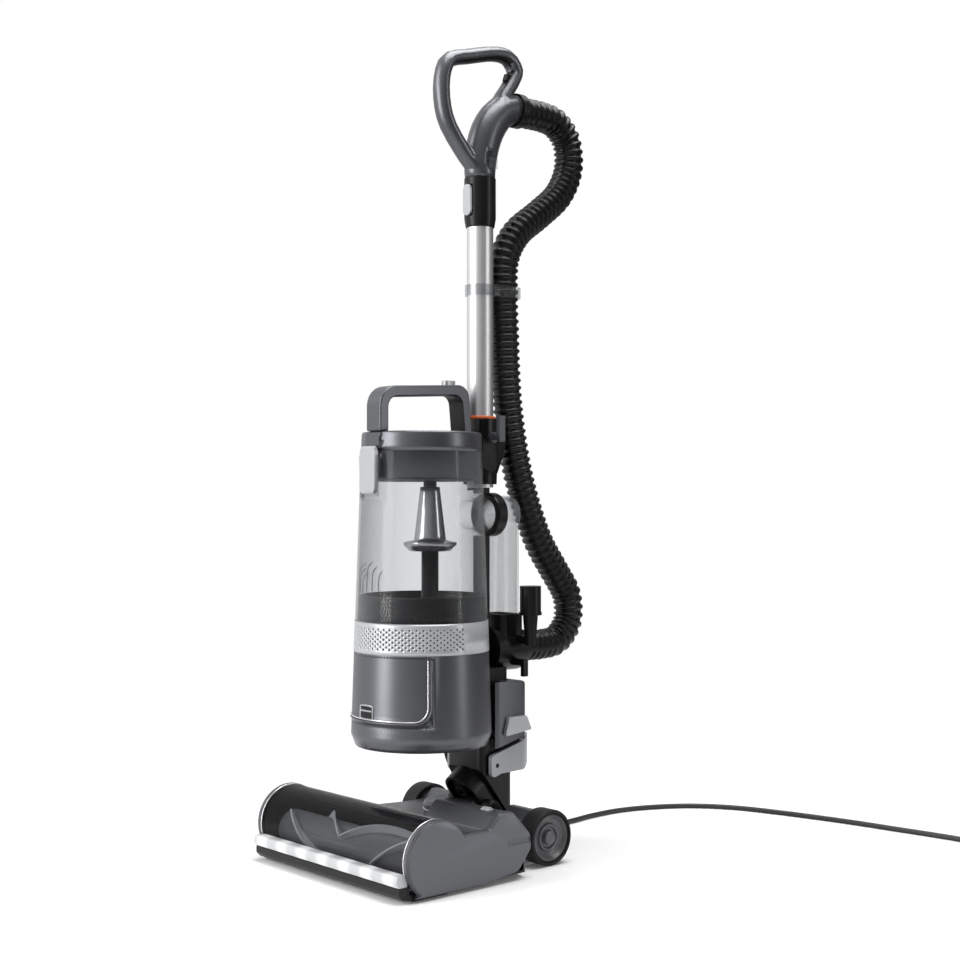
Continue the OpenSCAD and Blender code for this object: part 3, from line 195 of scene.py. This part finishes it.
cord_d = 0.007
cord_rest = 0.0036
gland = Vector((-0.058, can_y + 0.088, can_z))
cord_points = [gland + Vector(p) for p in (
    (0, 0, 0.0176), (0, 0, 0.002), (0, 0, -0.014), (0, 0.006, -0.038), (0.001, 0.022, -0.066),
    (0.003, 0.046, -0.094), (0.007, 0.074, -0.119), (0.011, 0.100, -0.136))]
coil_middle = Vector((0.480, 0.600, 0))
coil_rise = 0.0076
coil_turns = 4
coil_out = 0.042 + coil_turns * coil_rise / 2
cord_points += [Vector((x, y, z)) for x, y, z in (
    (-0.042, 0.140, 0.0065), (-0.036, 0.164, 0.0041), (-0.027, 0.195, cord_rest),
    (-0.028, 0.235, cord_rest), (-0.034, 0.285, cord_rest), (-0.032, 0.340, cord_rest),
    (-0.014, 0.395, cord_rest), (0.020, 0.445, cord_rest), (0.070, 0.480, cord_rest),
    (0.130, 0.500, cord_rest), (0.190, 0.514, cord_rest), (0.250, 0.525, cord_rest),
    (0.310, 0.532, cord_rest), (0.355, 0.538, cord_rest), (0.400, 0.542, cord_rest),
    (0.440, 0.5428, cord_rest), (0.480, 0.5428, cord_rest))]


def smooth_line(points, steps):
    """Points along a Catmull-Rom curve through the given points."""
    line = []
    ends = [2 * points[0] - points[1]] + points + [2 * points[-1] - points[-2]]
    for a, b, c, d in zip(ends, ends[1:], ends[2:], ends[3:]):
        for i in range(steps):
            t = i / steps
            line.append(0.5 * (2 * b + (c - a) * t + (2 * a - 5 * b + 4 * c - d) * t ** 2
                               + (3 * b - a - 3 * c + d) * t ** 3))
    return line + [points[-1].copy()]


def coil_at(turn):
    """Point of the coil after a number of turns: four flat layers that wind in and out again."""
    layer = min(int(turn / coil_turns), 3)
    inward = turn / coil_turns - layer
    if layer % 2:
        inward = 1 - inward
    crossing = round(turn / coil_turns)
    off = turn - crossing * coil_turns
    climb = crossing - 0.5 + 2 * off if 0 < crossing < 4 and abs(off) < 0.25 else layer
    radius = coil_out - coil_turns * coil_rise * inward
    angle = math.radians(360 * turn - 90)
    return coil_middle + Vector((radius * math.cos(angle), radius * math.sin(angle),
                                 cord_rest + coil_rise * climb))


turn_steps = 40
coil_line = [coil_at(i / turn_steps) for i in range(4 * coil_turns * turn_steps - 1)]
tail_points = [coil_line[-1]] + [coil_middle + Vector(p) for p in (
    (0.016, -0.066, 0.026), (0.044, -0.072, 0.020), (0.074, -0.076, 0.0095), (0.100, -0.077, 0.0046),
    (0.126, -0.077, 0.007), (0.152, -0.077, 0.009))]
cord_line = smooth_line(cord_points, 8)[:-1] + coil_line + smooth_line(tail_points, 8)[3:]

def flex(name, line):
    """A length of the cord: a round tube along a line of points."""
    curve = bpy.data.curves.new(name, "CURVE")
    curve.dimensions = "3D"
    spline = curve.splines.new("POLY")
    spline.points.add(len(line) - 1)
    for point, at in zip(spline.points, line):
        point.co = (*at, 1)
    curve.bevel_depth = cord_d / 2
    curve.bevel_resolution = 3
    curve.use_fill_caps = True
    drawn = bpy.data.objects.new(name, curve)
    mesh = bpy.data.meshes.new_from_object(drawn)
    bpy.data.objects.remove(drawn)
    made = bpy.data.objects.new(name, mesh)
    scene.collection.objects.link(made)
    return made


def grain(tree, shader, size, depth, rough, spread):
    """Fine moulded grain: bump from a small noise, roughness from a broader one."""
    place = tree.nodes.new("ShaderNodeTexCoord")
    fine = node(tree, "ShaderNodeTexNoise", Scale=1 / size, Detail=3.0)
    broad = node(tree, "ShaderNodeTexNoise", Scale=0.04 / size, Detail=2.0)
    join(tree, place, "Object", fine, "Vector")
    join(tree, place, "Object", broad, "Vector")
    bump = node(tree, "ShaderNodeBump", Strength=0.5, Distance=depth)
    tree.links.new(fine.outputs[0], bump.inputs["Height"])
    join(tree, bump, "Normal", shader, "Normal")
    vary = node(tree, "ShaderNodeMapRange", To_Min=rough - spread, To_Max=rough + spread)
    tree.links.new(broad.outputs[0], vary.inputs["Value"])
    join(tree, vary, "Result", shader, "Roughness")
    return fine, broad


def plastic(name, color, rough, size=0.0012, depth=0.000006, spread=0.015, **sockets):
    """Moulded plastic or rubber of one colour, a little lighter and darker over its surface."""
    made, tree, shader = material(name)
    fine, broad = grain(tree, shader, size, depth, rough, spread)
    tone = node(tree, "ShaderNodeMix", {"data_type": "RGBA"}, A=(*[c * 0.985 for c in color], 1),
                B=(*[min(1, c * 1.015) for c in color], 1))
    tree.links.new(broad.outputs[0], tone.inputs[0])
    join(tree, tone, "Result", shader, "Base Color")
    for key, value in sockets.items():
        shader.inputs[key.replace("_", " ")].default_value = value
    return made


cord_rubber = plastic("cord_rubber", (0.016, 0.016, 0.018), 0.48)


def line_length(line):
    """The length of a line of points."""
    return sum((b - a).length for a, b in zip(line, line[1:]))


# The cord is drawn in three lengths, cut where it has run set distances from the gland: a top length, a drop
# below it, and the rest down to the floor, round the coil and on to the plug.
top_end, drop_end, floor_end = [
    next(i for i in range(len(cord_line)) if line_length(cord_line[:i + 1]) > reached)
    for reached in (0.0445, 0.089, 0.205)]
for name, first, last, upper, lower, bend_end in (
        ("cord_top", 0, top_end, "canister", "stand", top_end),
        ("cord_drop", top_end, drop_end, "stand", "neck", drop_end),
        ("mains_cord", drop_end, len(cord_line) - 1, "neck", "floorhead", floor_end)):
    line = cord_line[first:last + 1]
    made = flex(name, line)
    made.data.materials.append(cord_rubber)
    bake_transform(made)
    if name == "mains_cord":
        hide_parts("cord_lead", "cord_coil")


# ==== Stretch hose ====
# A black corrugated hose that stretches from the elbow at the spine's foot up to the cuff behind
# the handle. Every rib is a raised ring with a rounded crest.

hose_ribs = 96
hose_sides = 28
hose_crest = 0.0205
hose_root = 0.0176
hose_points = [Vector((0, can_y + y / 1000, can_z + z / 1000)) for y, z in (
    (172, 836), (192, 836), (212, 836), (240, 831), (262, 808), (265, 770), (245, 732), (206, 700),
    (166, 670), (144, 634), (141, 586), (143, 538), (145, 490), (149, 441), (157, 392), (169, 343),
    (186, 296), (208, 251), (237, 212), (261, 178), (263, 142), (242, 117), (212, 112), (192, 112),
    (172, 112))]
hose_line = smooth_line(hose_points, 24)


def along(line, count):
    """Points at even distances along a line."""
    steps = [0.0]
    for a, b in zip(line, line[1:]):
        steps.append(steps[-1] + (b - a).length)
    out, i = [], 0
    for k in range(count + 1):
        want = steps[-1] * k / count
        while i < len(steps) - 2 and steps[i + 1] < want:
            i += 1
        t = (want - steps[i]) / (steps[i + 1] - steps[i])
        out.append(line[i].lerp(line[i + 1], t))
    return out


def stations(points):
    """A frame at each point, turned so that its third axis runs along the line."""
    out = []
    for i, p in enumerate(points):
        ahead = (points[min(i + 1, len(points) - 1)] - points[max(i - 1, 0)]).normalized()
        side = Vector((1, 0, 0))
        side = (side - ahead * side.dot(ahead)).normalized()
        turn = Matrix((side, ahead.cross(side), ahead)).transposed().to_4x4()
        out.append(Matrix.Translation(p) @ turn)
    return out


def sweep(shape, edges, frames):
    """Extrudes a ring of edges from frame to frame, and returns the last ring's edges."""
    now = frames[0]
    for ahead in frames[1:]:
        made = bmesh.ops.extrude_edge_only(shape, edges=edges)["geom"]
        points = [g for g in made if isinstance(g, bmesh.types.BMVert)]
        edges = [g for g in made if isinstance(g, bmesh.types.BMEdge)
                 and all(v in points for v in g.verts)]
        bmesh.ops.transform(shape, matrix=ahead @ now.inverted(), verts=points)
        now = ahead
    return edges


def piece(name, shape, smooth=30):
    """A finished object from a bmesh, its edges sharper than the given angle kept sharp."""
    bmesh.ops.recalc_face_normals(shape, faces=shape.faces)
    made = bpy.data.objects.new(name, bpy.data.meshes.new(name))
    shape.to_mesh(made.data)
    shape.free()
    made.data.shade_smooth()
    made.data.set_sharp_from_angle(angle=math.radians(smooth))
    scene.collection.objects.link(made)
    return made


rib_profile = ((0.0, hose_root), (0.30, hose_root), (0.46, hose_crest - 0.0007), (0.58, hose_crest),
               (0.70, hose_crest), (0.82, hose_crest - 0.0007))
per_rib = 50
fine_line = along(hose_line, hose_ribs * per_rib)
fine_frames = stations(fine_line)
rings = []
for rib in range(hose_ribs):
    for share, radius in rib_profile:
        rings.append(fine_frames[round((rib + share) * per_rib)] @ Matrix.Scale(radius, 4))
rings.append(fine_frames[-1] @ Matrix.Scale(hose_root, 4))
shape = bmesh.new()
bmesh.ops.create_circle(shape, segments=hose_sides, radius=1, cap_ends=False)
bmesh.ops.transform(shape, matrix=rings[0], verts=shape.verts)
sweep(shape, list(shape.edges), rings)
bmesh.ops.holes_fill(shape, edges=[e for e in shape.edges if e.is_boundary], sides=0)
hose = piece("stretch_hose", shape, 60)
hose.data.materials.append(plastic("hose_rubber", (0.006, 0.006, 0.0065), 0.30, Specular_IOR_Level=0.25))
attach(hose, "canister")
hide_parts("hose")


# ==== Floorhead shells ====
# Dark graphite plastic with fine metal flake: the deck with its motor bulge, the two end caps and
# the round cap in front of the neck. The black chassis carries them, with the sole under it.

def satin(name, color, rough=0.34, metal=0.55, **sockets):
    """Satin shell with fine metal flake in it."""
    made = plastic(name, color, rough, size=0.0010, depth=0.000003, spread=0.012, **sockets)
    made.node_tree.nodes["Principled BSDF"].inputs["Metallic"].default_value = metal
    return made


def dress(name, finish, edge=0.0, smooth=32):
    """The shell of a solid under its own name: welded, its edges eased, and given its finish."""
    solid = frame["nodes"][name]
    shape = bmesh.new()
    shape.from_mesh(solid.data)
    bmesh.ops.remove_doubles(shape, verts=shape.verts, dist=1e-6)
    if edge:
        bmesh.ops.dissolve_limit(shape, angle_limit=math.radians(0.6), verts=shape.verts, edges=shape.edges)
    made = bpy.data.objects.new(name + "_shell", bpy.data.meshes.new(name + "_shell"))
    shape.to_mesh(made.data)
    shape.free()
    made.data.shade_smooth()
    made.data.set_sharp_from_angle(angle=math.radians(smooth))
    scene.collection.objects.link(made)
    if edge:
        ease = made.modifiers.new("eased_edge", "BEVEL")
        ease.width = edge
        ease.segments = 2
        ease.limit_method = "ANGLE"
        ease.angle_limit = math.radians(smooth)
        ease.use_clamp_overlap = True
        ease.harden_normals = True
    made.data.materials.clear()
    made.data.materials.append(finish)
    body = solid["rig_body"]
    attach(made, body)
    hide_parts(name)
    return made


graphite = satin("graphite_shell", (0.112, 0.115, 0.126), 0.34, 0.7)
black = plastic("black_plastic", (0.006, 0.006, 0.007), 0.34, Specular_IOR_Level=0.25)
dark = plastic("dark_plastic", (0.03, 0.031, 0.034), 0.45)
silver = satin("silver_plastic", (0.36, 0.37, 0.39), 0.34, 0.5)
pale_silver = satin("pale_silver_plastic", (0.46, 0.47, 0.49), 0.34, 0.4)
steel = satin("turned_steel", (0.55, 0.55, 0.56), 0.28, 1.0)

for name in ("head_cover", "end_cap_left", "end_cap_right", "pivot_dome"):
    dress(name, graphite, 0.0007)
for name in ("head_base", "soleplate"):
    dress(name, black, 0.0005)
dress("head_slider", pale_silver, 0.0004)


# ==== Brush chamber ====
# A smoked clear hood over the brush bar. The bar is a grey core with bristle strips that wind
# from both ends to the middle; its motor lies behind it and drives it by a toothed belt.

def clear_plastic(name, color, front, rim, rough=0.05, tint=(1, 1, 1)):
    """Clear plastic: seen through face on, with more shine and colour towards its edges."""
    made, tree, shader = material(name)
    shader.inputs["Base Color"].default_value = (*color, 1)
    shader.inputs["Roughness"].default_value = rough
    shader.inputs["IOR"].default_value = 1.46
    through = tree.nodes.new("ShaderNodeBsdfTransparent")
    through.inputs["Color"].default_value = (*tint, 1)
    edge = node(tree, "ShaderNodeLayerWeight", Blend=0.25)
    solid = node(tree, "ShaderNodeMapRange", To_Min=front, To_Max=rim)
    join(tree, edge, "Facing", solid, "Value")
    mix = tree.nodes.new("ShaderNodeMixShader")
    join(tree, solid, "Result", mix, "Fac")
    tree.links.new(through.outputs[0], mix.inputs[1])
    tree.links.new(shader.outputs[0], mix.inputs[2])
    tree.links.new(mix.outputs[0], tree.nodes["Material Output"].inputs["Surface"])
    return made


def tube(name, points, radius, finish, body):
    """A thin rod, bead or trim that follows the points and rides on a body."""
    line = bpy.data.curves.new(name, "CURVE")
    line.dimensions = "3D"
    spline = line.splines.new("POLY")
    spline.points.add(len(points) - 1)
    for point, at in zip(spline.points, points):
        point.co = (*at, 1)
    line.bevel_depth = radius
    line.bevel_resolution = 3
    line.use_fill_caps = True
    line.materials.append(finish)
    made = bpy.data.objects.new(name, line)
    scene.collection.objects.link(made)
    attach(made, body)
    return made


hood_y = axle_y - 0.206
hood_z = 0.045


def hood_point(x, angle, radius):
    """Point near the round hood, at an angle from its rear, in degrees."""
    turn = math.radians(angle)
    return Vector((x, hood_y + radius * math.cos(turn), hood_z + radius * math.sin(turn)))


smoked = clear_plastic("smoked_window", (0.006, 0.006, 0.007), 0.07, 0.65, 0.06, (0.78, 0.79, 0.80))
clear = clear_plastic("clear_plastic", (0.20, 0.205, 0.21), 0.05, 0.75, 0.05, (0.955, 0.96, 0.965))
bright = satin("bright_trim", (0.72, 0.72, 0.73), 0.22, 0.9)
for side, x in (("left", -0.1445), ("right", 0.1445)):
    tube("window_trim_" + side, [hood_point(x, a, 0.0451) for a in range(55, 196, 4)], 0.0009, bright,
         "floorhead")
cover = frame["nodes"]["head_cover"].data
deck = BVHTree.FromPolygons([v.co for v in cover.vertices], [f.vertices for f in cover.polygons])


def on_deck(x, y):
    """Point on top of the deck, found by looking down on the solid."""
    return deck.ray_cast(Vector((x, axle_y + y, 0.3)), Vector((0, 0, -1)))[0]


seam = [(-0.120, -0.146), (-0.060, -0.146), (-0.006, -0.146), (0.006, -0.134), (0.050, -0.134),
        (0.098, -0.134)]
seam = [tuple(Vector(a).lerp(Vector(b), i / 12)) for a, b in zip(seam, seam[1:]) for i in range(12)]
tube("deck_seam", [on_deck(x, y) for x, y in seam], 0.0009, black, "floorhead")
dome_middle = Vector((0, axle_y - 0.055, 0.0615))
dome_r = 0.0361
ring = [math.radians(5 * i) for i in range(73)]
tube("dome_rim", [dome_middle + dome_r * Vector((math.cos(a), math.sin(a), 0)) for a in ring],
     0.0007, bright, "floorhead")
tube("window_rear_line", [hood_point(-0.144, 55.5, 0.0452), hood_point(0.144, 55.5, 0.0452)], 0.0008, bright,
     "floorhead")
dress("brush_window", smoked)
dress("brush_core", plastic("brush_grey", (0.34, 0.34, 0.35), 0.36), 0)
dress("brush_bristles", plastic("bristle_strip", (0.85, 0.86, 0.87), 0.60, 0.0008, 0.0002), 0)
for name in ("brush_bearings", "motor_pulley", "axle"):
    dress(name, steel, 0)
dress("brush_motor", satin("motor_can", (0.22, 0.22, 0.23), 0.40, 0.8), 0)
dress("drive_belt", plastic("belt_rubber", (0.02, 0.02, 0.02), 0.7), 0)


# ==== Front light ====
# A milky clear plastic lens that clips across the nose, over a narrow circuit board. The board's
# diodes sit evenly along it and show through the lens as soft bright spots.

milky, tree, shader = material("milky_lens")
shader.inputs["Base Color"].default_value = (0.46, 0.47, 0.48, 1)
shader.inputs["Roughness"].default_value = 0.22
shader.inputs["Emission Color"].default_value = (1, 1, 1, 1)
place = tree.nodes.new("ShaderNodeTexCoord")
split = tree.nodes.new("ShaderNodeSeparateXYZ")
join(tree, place, "Object", split, "Vector")
light_pitch = 0.043
repeat = node(tree, "ShaderNodeMath", {"operation": "PINGPONG"})
repeat.inputs[1].default_value = light_pitch / 2
join(tree, split, "X", repeat, "Value")
glow = node(tree, "ShaderNodeMapRange", {"interpolation_type": "SMOOTHSTEP"}, From_Min=0.002, From_Max=0.017,
            To_Min=0.36, To_Max=0.06)
join(tree, repeat, "Value", glow, "Value")
join(tree, glow, "Result", shader, "Emission Strength")
dress("light_lens", milky, 0.0006)
lit, tree, shader = material("lit_board")
shader.inputs["Base Color"].default_value = (0.8, 0.82, 0.78, 1)
shader.inputs["Emission Color"].default_value = (0.95, 0.98, 1, 1)
shader.inputs["Emission Strength"].default_value = 2.0
dress("light_board", lit, 0)


# ==== Wheels ====
# Smooth rubber tyres, pressed on to grey moulded hubs. The hubs are dished, with a raised cap, and
# turn on the steel axle at the back of the floorhead.

tyre_rubber = plastic("tyre_rubber", (0.012, 0.012, 0.013), 0.50, Specular_IOR_Level=0.2)
hub_grey = plastic("hub_grey", (0.085, 0.087, 0.092), 0.34)
for side in ("left", "right"):
    dress("tyre_" + side, tyre_rubber, 0)
    dress("hub_" + side, hub_grey, 0.0004)


# ==== Neck, stand, pedal and release button ====
# A black neck that hinges on the wheel axle and steers the stand. The stand's grey cover holds the
# canister's foot; a silver foot pedal frees the recline, a pale button frees the canister.

dress("yoke", black, 0.0006)
dress("stand_column", black, 0.0006)
dress("stand_cover", graphite, 0.0008)
dress("pedal", silver, 0.0025)
dress("lift_button", pale_silver, 0.0006)


# ==== Canister ====
# A tapering graphite housing round the suction motor, on a round foot. Its filter door slides out
# to the front, and a perforated silver band round its top lets the air out.

for name in ("base_plate", "motor_housing", "filter_cover"):
    dress(name, graphite)


wall_foot_r = 0.0894
wall_foot_z = 0.014
wall_taper = 0.034


def can_point(turn, height, out=0.0):
    """Point off the tapering wall, at a turn from its front in degrees and a height on the canister."""
    radius = wall_foot_r - wall_taper * (height - wall_foot_z) + out
    turn = math.radians(turn)
    return Vector((radius * math.sin(turn), can_y - radius * math.cos(turn), can_z + height))


def door_line(turn, low, corner):
    """Points down one side of the filter door, round its lower corners and up the other side."""
    swing = math.degrees(corner / 0.089)
    half = [(turn, 0.1135), (turn, 0.090), (turn, low + corner)]
    for i in range(1, 11):
        a = math.radians(9 * i)
        half.append((turn - swing * (1 - math.cos(a)), low + corner * (1 - math.sin(a))))
    across = [(t / 2, low) for t in range(int(2 * (turn - swing)) - 4, -int(2 * (turn - swing)) + 4, -4)]
    return [can_point(t, h, 0.0005) for t, h in half + across + [(-t, h) for t, h in reversed(half)]]


tube("door_bead", door_line(58.6, 0.0358, 0.020), 0.0012, graphite, "filter_door")
tube("latch_lip", [can_point(t, h, 0.0002) for t, h in (
    (-8, 0.0395), (-8, 0.0545), (-4, 0.0555), (0, 0.0556), (4, 0.0555), (8, 0.0545), (8, 0.0395),
    (4, 0.0388), (0, 0.0387), (-4, 0.0388), (-8, 0.0395))], 0.0013, silver, "filter_door")
tube("latch_bar", [can_point(t, 0.049, 0.0005) for t in (-7.4, -4, 0, 4, 7.4)], 0.0012, silver,
     "filter_door")
# The black plate is painted shade: a flat sheet on the door where the finger recess under the latch bar is,
# standing in for the recess's shaded hollow.
recess_shade_turn = 14.5
recess_shade_middle = 0.047
recess_shade_h = 0.0145
recess_shade = bmesh.new()
bmesh.ops.create_grid(recess_shade, x_segments=8, y_segments=2, size=0.5)
for v in recess_shade.verts:
    v.co = can_point(recess_shade_turn * v.co.x, recess_shade_middle + recess_shade_h * v.co.y, 0.0007)
latch_recess_shade = piece("latch_recess_shade", recess_shade)
latch_recess_shade.data.materials.append(black)
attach(latch_recess_shade, "filter_door")
tube("door_bead_inner", door_line(55.8, 0.0385, 0.018), 0.0009, bright, "filter_door")

# One cell of the perforated band is a small flat rectangle with a round hole; the cells are laid
# out flat in staggered columns, met by plain strips, and the whole is bent round the canister.
wall_r = 0.0855
cell_w = math.radians(2.9) * wall_r
cell_h = 0.006
band_low, band_high = 0.1186, 0.157
field_mid = (band_low + band_high) / 2
hole_r = 0.0012
columns = 30
band_wall = 0.0014
plate_wall = 0.0028
plate_r = 0.0838
plate_hole_r = 0.0240
cell = bmesh.new()
bmesh.ops.create_grid(cell, x_segments=4, y_segments=2, size=0.5)
bmesh.ops.delete(cell, geom=[v for v in cell.verts if not v.is_boundary], context="VERTS")
bmesh.ops.scale(cell, vec=(cell_w, cell_h, 1), verts=cell.verts)
bmesh.ops.create_circle(cell, segments=12, radius=hole_r)
bmesh.ops.bridge_loops(cell, edges=cell.edges)
cell_mesh = bpy.data.meshes.new("band_cell")
cell.to_mesh(cell_mesh)
cell.free()
shape = bmesh.new()
for column in range(-columns, columns + 1):
    holes = 5 - column % 2
    for row in range(holes):
        known = len(shape.verts)
        shape.from_mesh(cell_mesh)
        shape.verts.ensure_lookup_table()
        bmesh.ops.translate(shape, verts=shape.verts[known:],
                            vec=(column * cell_w, field_mid + (row - (holes - 1) / 2) * cell_h, 0))
bmesh.ops.remove_doubles(shape, verts=shape.verts, dist=1e-6)


def reach_up(shape, level, target):
    """Extrudes the band's open edges at a level up or down to a target height."""
    open_edges = [e for e in shape.edges
                  if e.is_boundary and all(abs(v.co.y - level) < 1e-5 for v in e.verts)]
    made = bmesh.ops.extrude_edge_only(shape, edges=open_edges)["geom"]
    for v in made:
        if isinstance(v, bmesh.types.BMVert):
            v.co.y = target


for side, end in ((-1, band_low), (1, band_high)):
    reach_up(shape, field_mid + side * 2 * cell_h, field_mid + side * 2.5 * cell_h)
    reach_up(shape, field_mid + side * 2.5 * cell_h, end)
back = bmesh.ops.create_grid(shape, x_segments=48, y_segments=1, size=0.5)["verts"]
edge_u = (columns + 0.5) * cell_w
bmesh.ops.scale(shape, vec=(2 * (math.pi * wall_r - edge_u), band_high - band_low, 1), verts=back)
bmesh.ops.translate(shape, vec=(math.pi * wall_r, field_mid, 0), verts=back)
bmesh.ops.remove_doubles(shape, verts=shape.verts, dist=1e-6)
for v in shape.verts:
    v.co = can_point(math.degrees(v.co.x / wall_r), v.co.y, 0.0005)
band = piece("exhaust_band_shell", shape, 50)
thick = band.modifiers.new("thickness", "SOLIDIFY")
thick.thickness = band_wall
thick.offset = -1
band.data.materials.append(pale_silver)
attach(band, "canister")
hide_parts("exhaust_band")
plate = bmesh.new()
bmesh.ops.create_circle(plate, segments=96, radius=plate_r)
bmesh.ops.create_circle(plate, segments=96, radius=plate_hole_r)
bmesh.ops.bridge_loops(plate, edges=plate.edges)
bmesh.ops.translate(plate, vec=(0, can_y, can_z + band_high - 0.0015), verts=plate.verts)
band_plate = piece("band_plate", plate)
thick = band_plate.modifiers.new("thickness", "SOLIDIFY")
thick.thickness = plate_wall
thick.offset = 0
band_plate.data.materials.append(pale_silver)
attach(band_plate, "canister")
dress("exhaust_filter", plastic("filter_felt", (0.03, 0.03, 0.03), 0.9, 0.001, 0.0004), 0)
dress("suction_motor", dark, 0)
dress("impeller", steel, 0)


# ==== Dust bin ====
# A clear plastic bin on a black floor, which sits on the housing. Its graphite lid has a carry
# handle and holds the metal cyclone cone. A pale latch at the front of the bin frees it.

dress("bin_shell", clear)

# The floor's ring is drawn in a little, so that its face stands clear of the clear wall's.
ring_r = 0.070
ring_gap = 0.0006
bin_floor = dress("bin_floor", black)
for v in bin_floor.data.vertices:
    off = Vector((v.co.x, v.co.y - can_y))
    if off.length > ring_r:
        off *= 1 - ring_gap / off.length
        v.co.x, v.co.y = off.x, off.y + can_y
dress("bin_lid", graphite)
carry = dress("carry_handle", graphite, 0.0030)
carry.data.materials.append(black)
loop_middle = Vector((0, can_y - 0.010, can_z + 0.415))
for face in carry.data.polygons:
    if abs(face.normal.x) < 0.5 and face.normal.dot(loop_middle - face.center) > 0:
        face.material_index = 1
for i, turn in enumerate((-84, -75, -66, -57, -48, -39)):
    top = 0.205 + 0.006 * (i % 3)
    tube("bin_rib_%d" % (i + 1), [can_point(turn, 0.190, -0.004), can_point(turn, top, -0.004),
         can_point(turn, top + 0.007, -0.006), can_point(turn, top + 0.011, -0.011)], 0.0006, dark, "bin")
dress("cyclone_cone", satin("cone_metal", (0.42, 0.42, 0.43), 0.24, 0.9))
dress("bin_button", pale_silver, 0.0005)
dress("bin_latch", pale_silver, 0.0008)


# ==== Spine, duct and wand ====
# The black spine carries the canister, the wand's socket and the hose elbow. A clear duct takes the
# air up to the bin. The wand is a brushed aluminium tube with a black collar.

for name in ("spine", "duct_elbow", "inlet_ring", "hose_cuffs", "collar", "tool_post", "cord_gland"):
    dress(name, black, 0.0006)
dress("clear_duct", clear, 0)
dress("hose_clip", clear, 0)
dress("regulator", clear, 0)
dress("socket_ring", plastic("orange_plastic", (0.72, 0.13, 0.02), 0.40), 0)
dress("wand_tube", satin("brushed_tube", (0.62, 0.62, 0.63), 0.42, 0.9))
dress("collar_button", pale_silver, 0.0005)
dress("cord_hook_upper", graphite, 0.0005)


# ==== Handle ====
# A moulded graphite loop handle, lined with soft black grip rubber along the inner side of its top
# and front, with a black trigger in its neck.

handle = dress("handle_shell", graphite)
handle.data.materials.append(black)
grip_middle = Vector((0, can_y + 0.095, can_z + 0.850))
for face in handle.data.polygons:
    x, y, z = face.center - grip_middle
    on_grip = z > 0.018 and y < 0.055 or y < -0.033 and z > -0.065
    if on_grip and face.normal.dot(Vector((0, -y, -z)).normalized()) > 0.5:
        face.material_index = 1
dress("handle_trigger", black, 0.0004)


# ==== Mains plug ====
# A moulded black rubber plug with three brass pins, at the end of the cord. The pins stand out of
# its flat face.

pin_foot = coil_middle.x + 0.2211
plug = dress("mains_plug", plastic("plug_black", (0.016, 0.016, 0.018), 0.45), 0.0006)
plug.data.materials.append(satin("brass_pins", (0.50, 0.38, 0.16), 0.30, 1.0))
for face in plug.data.polygons:
    if face.center.x > pin_foot:
        face.material_index = 1
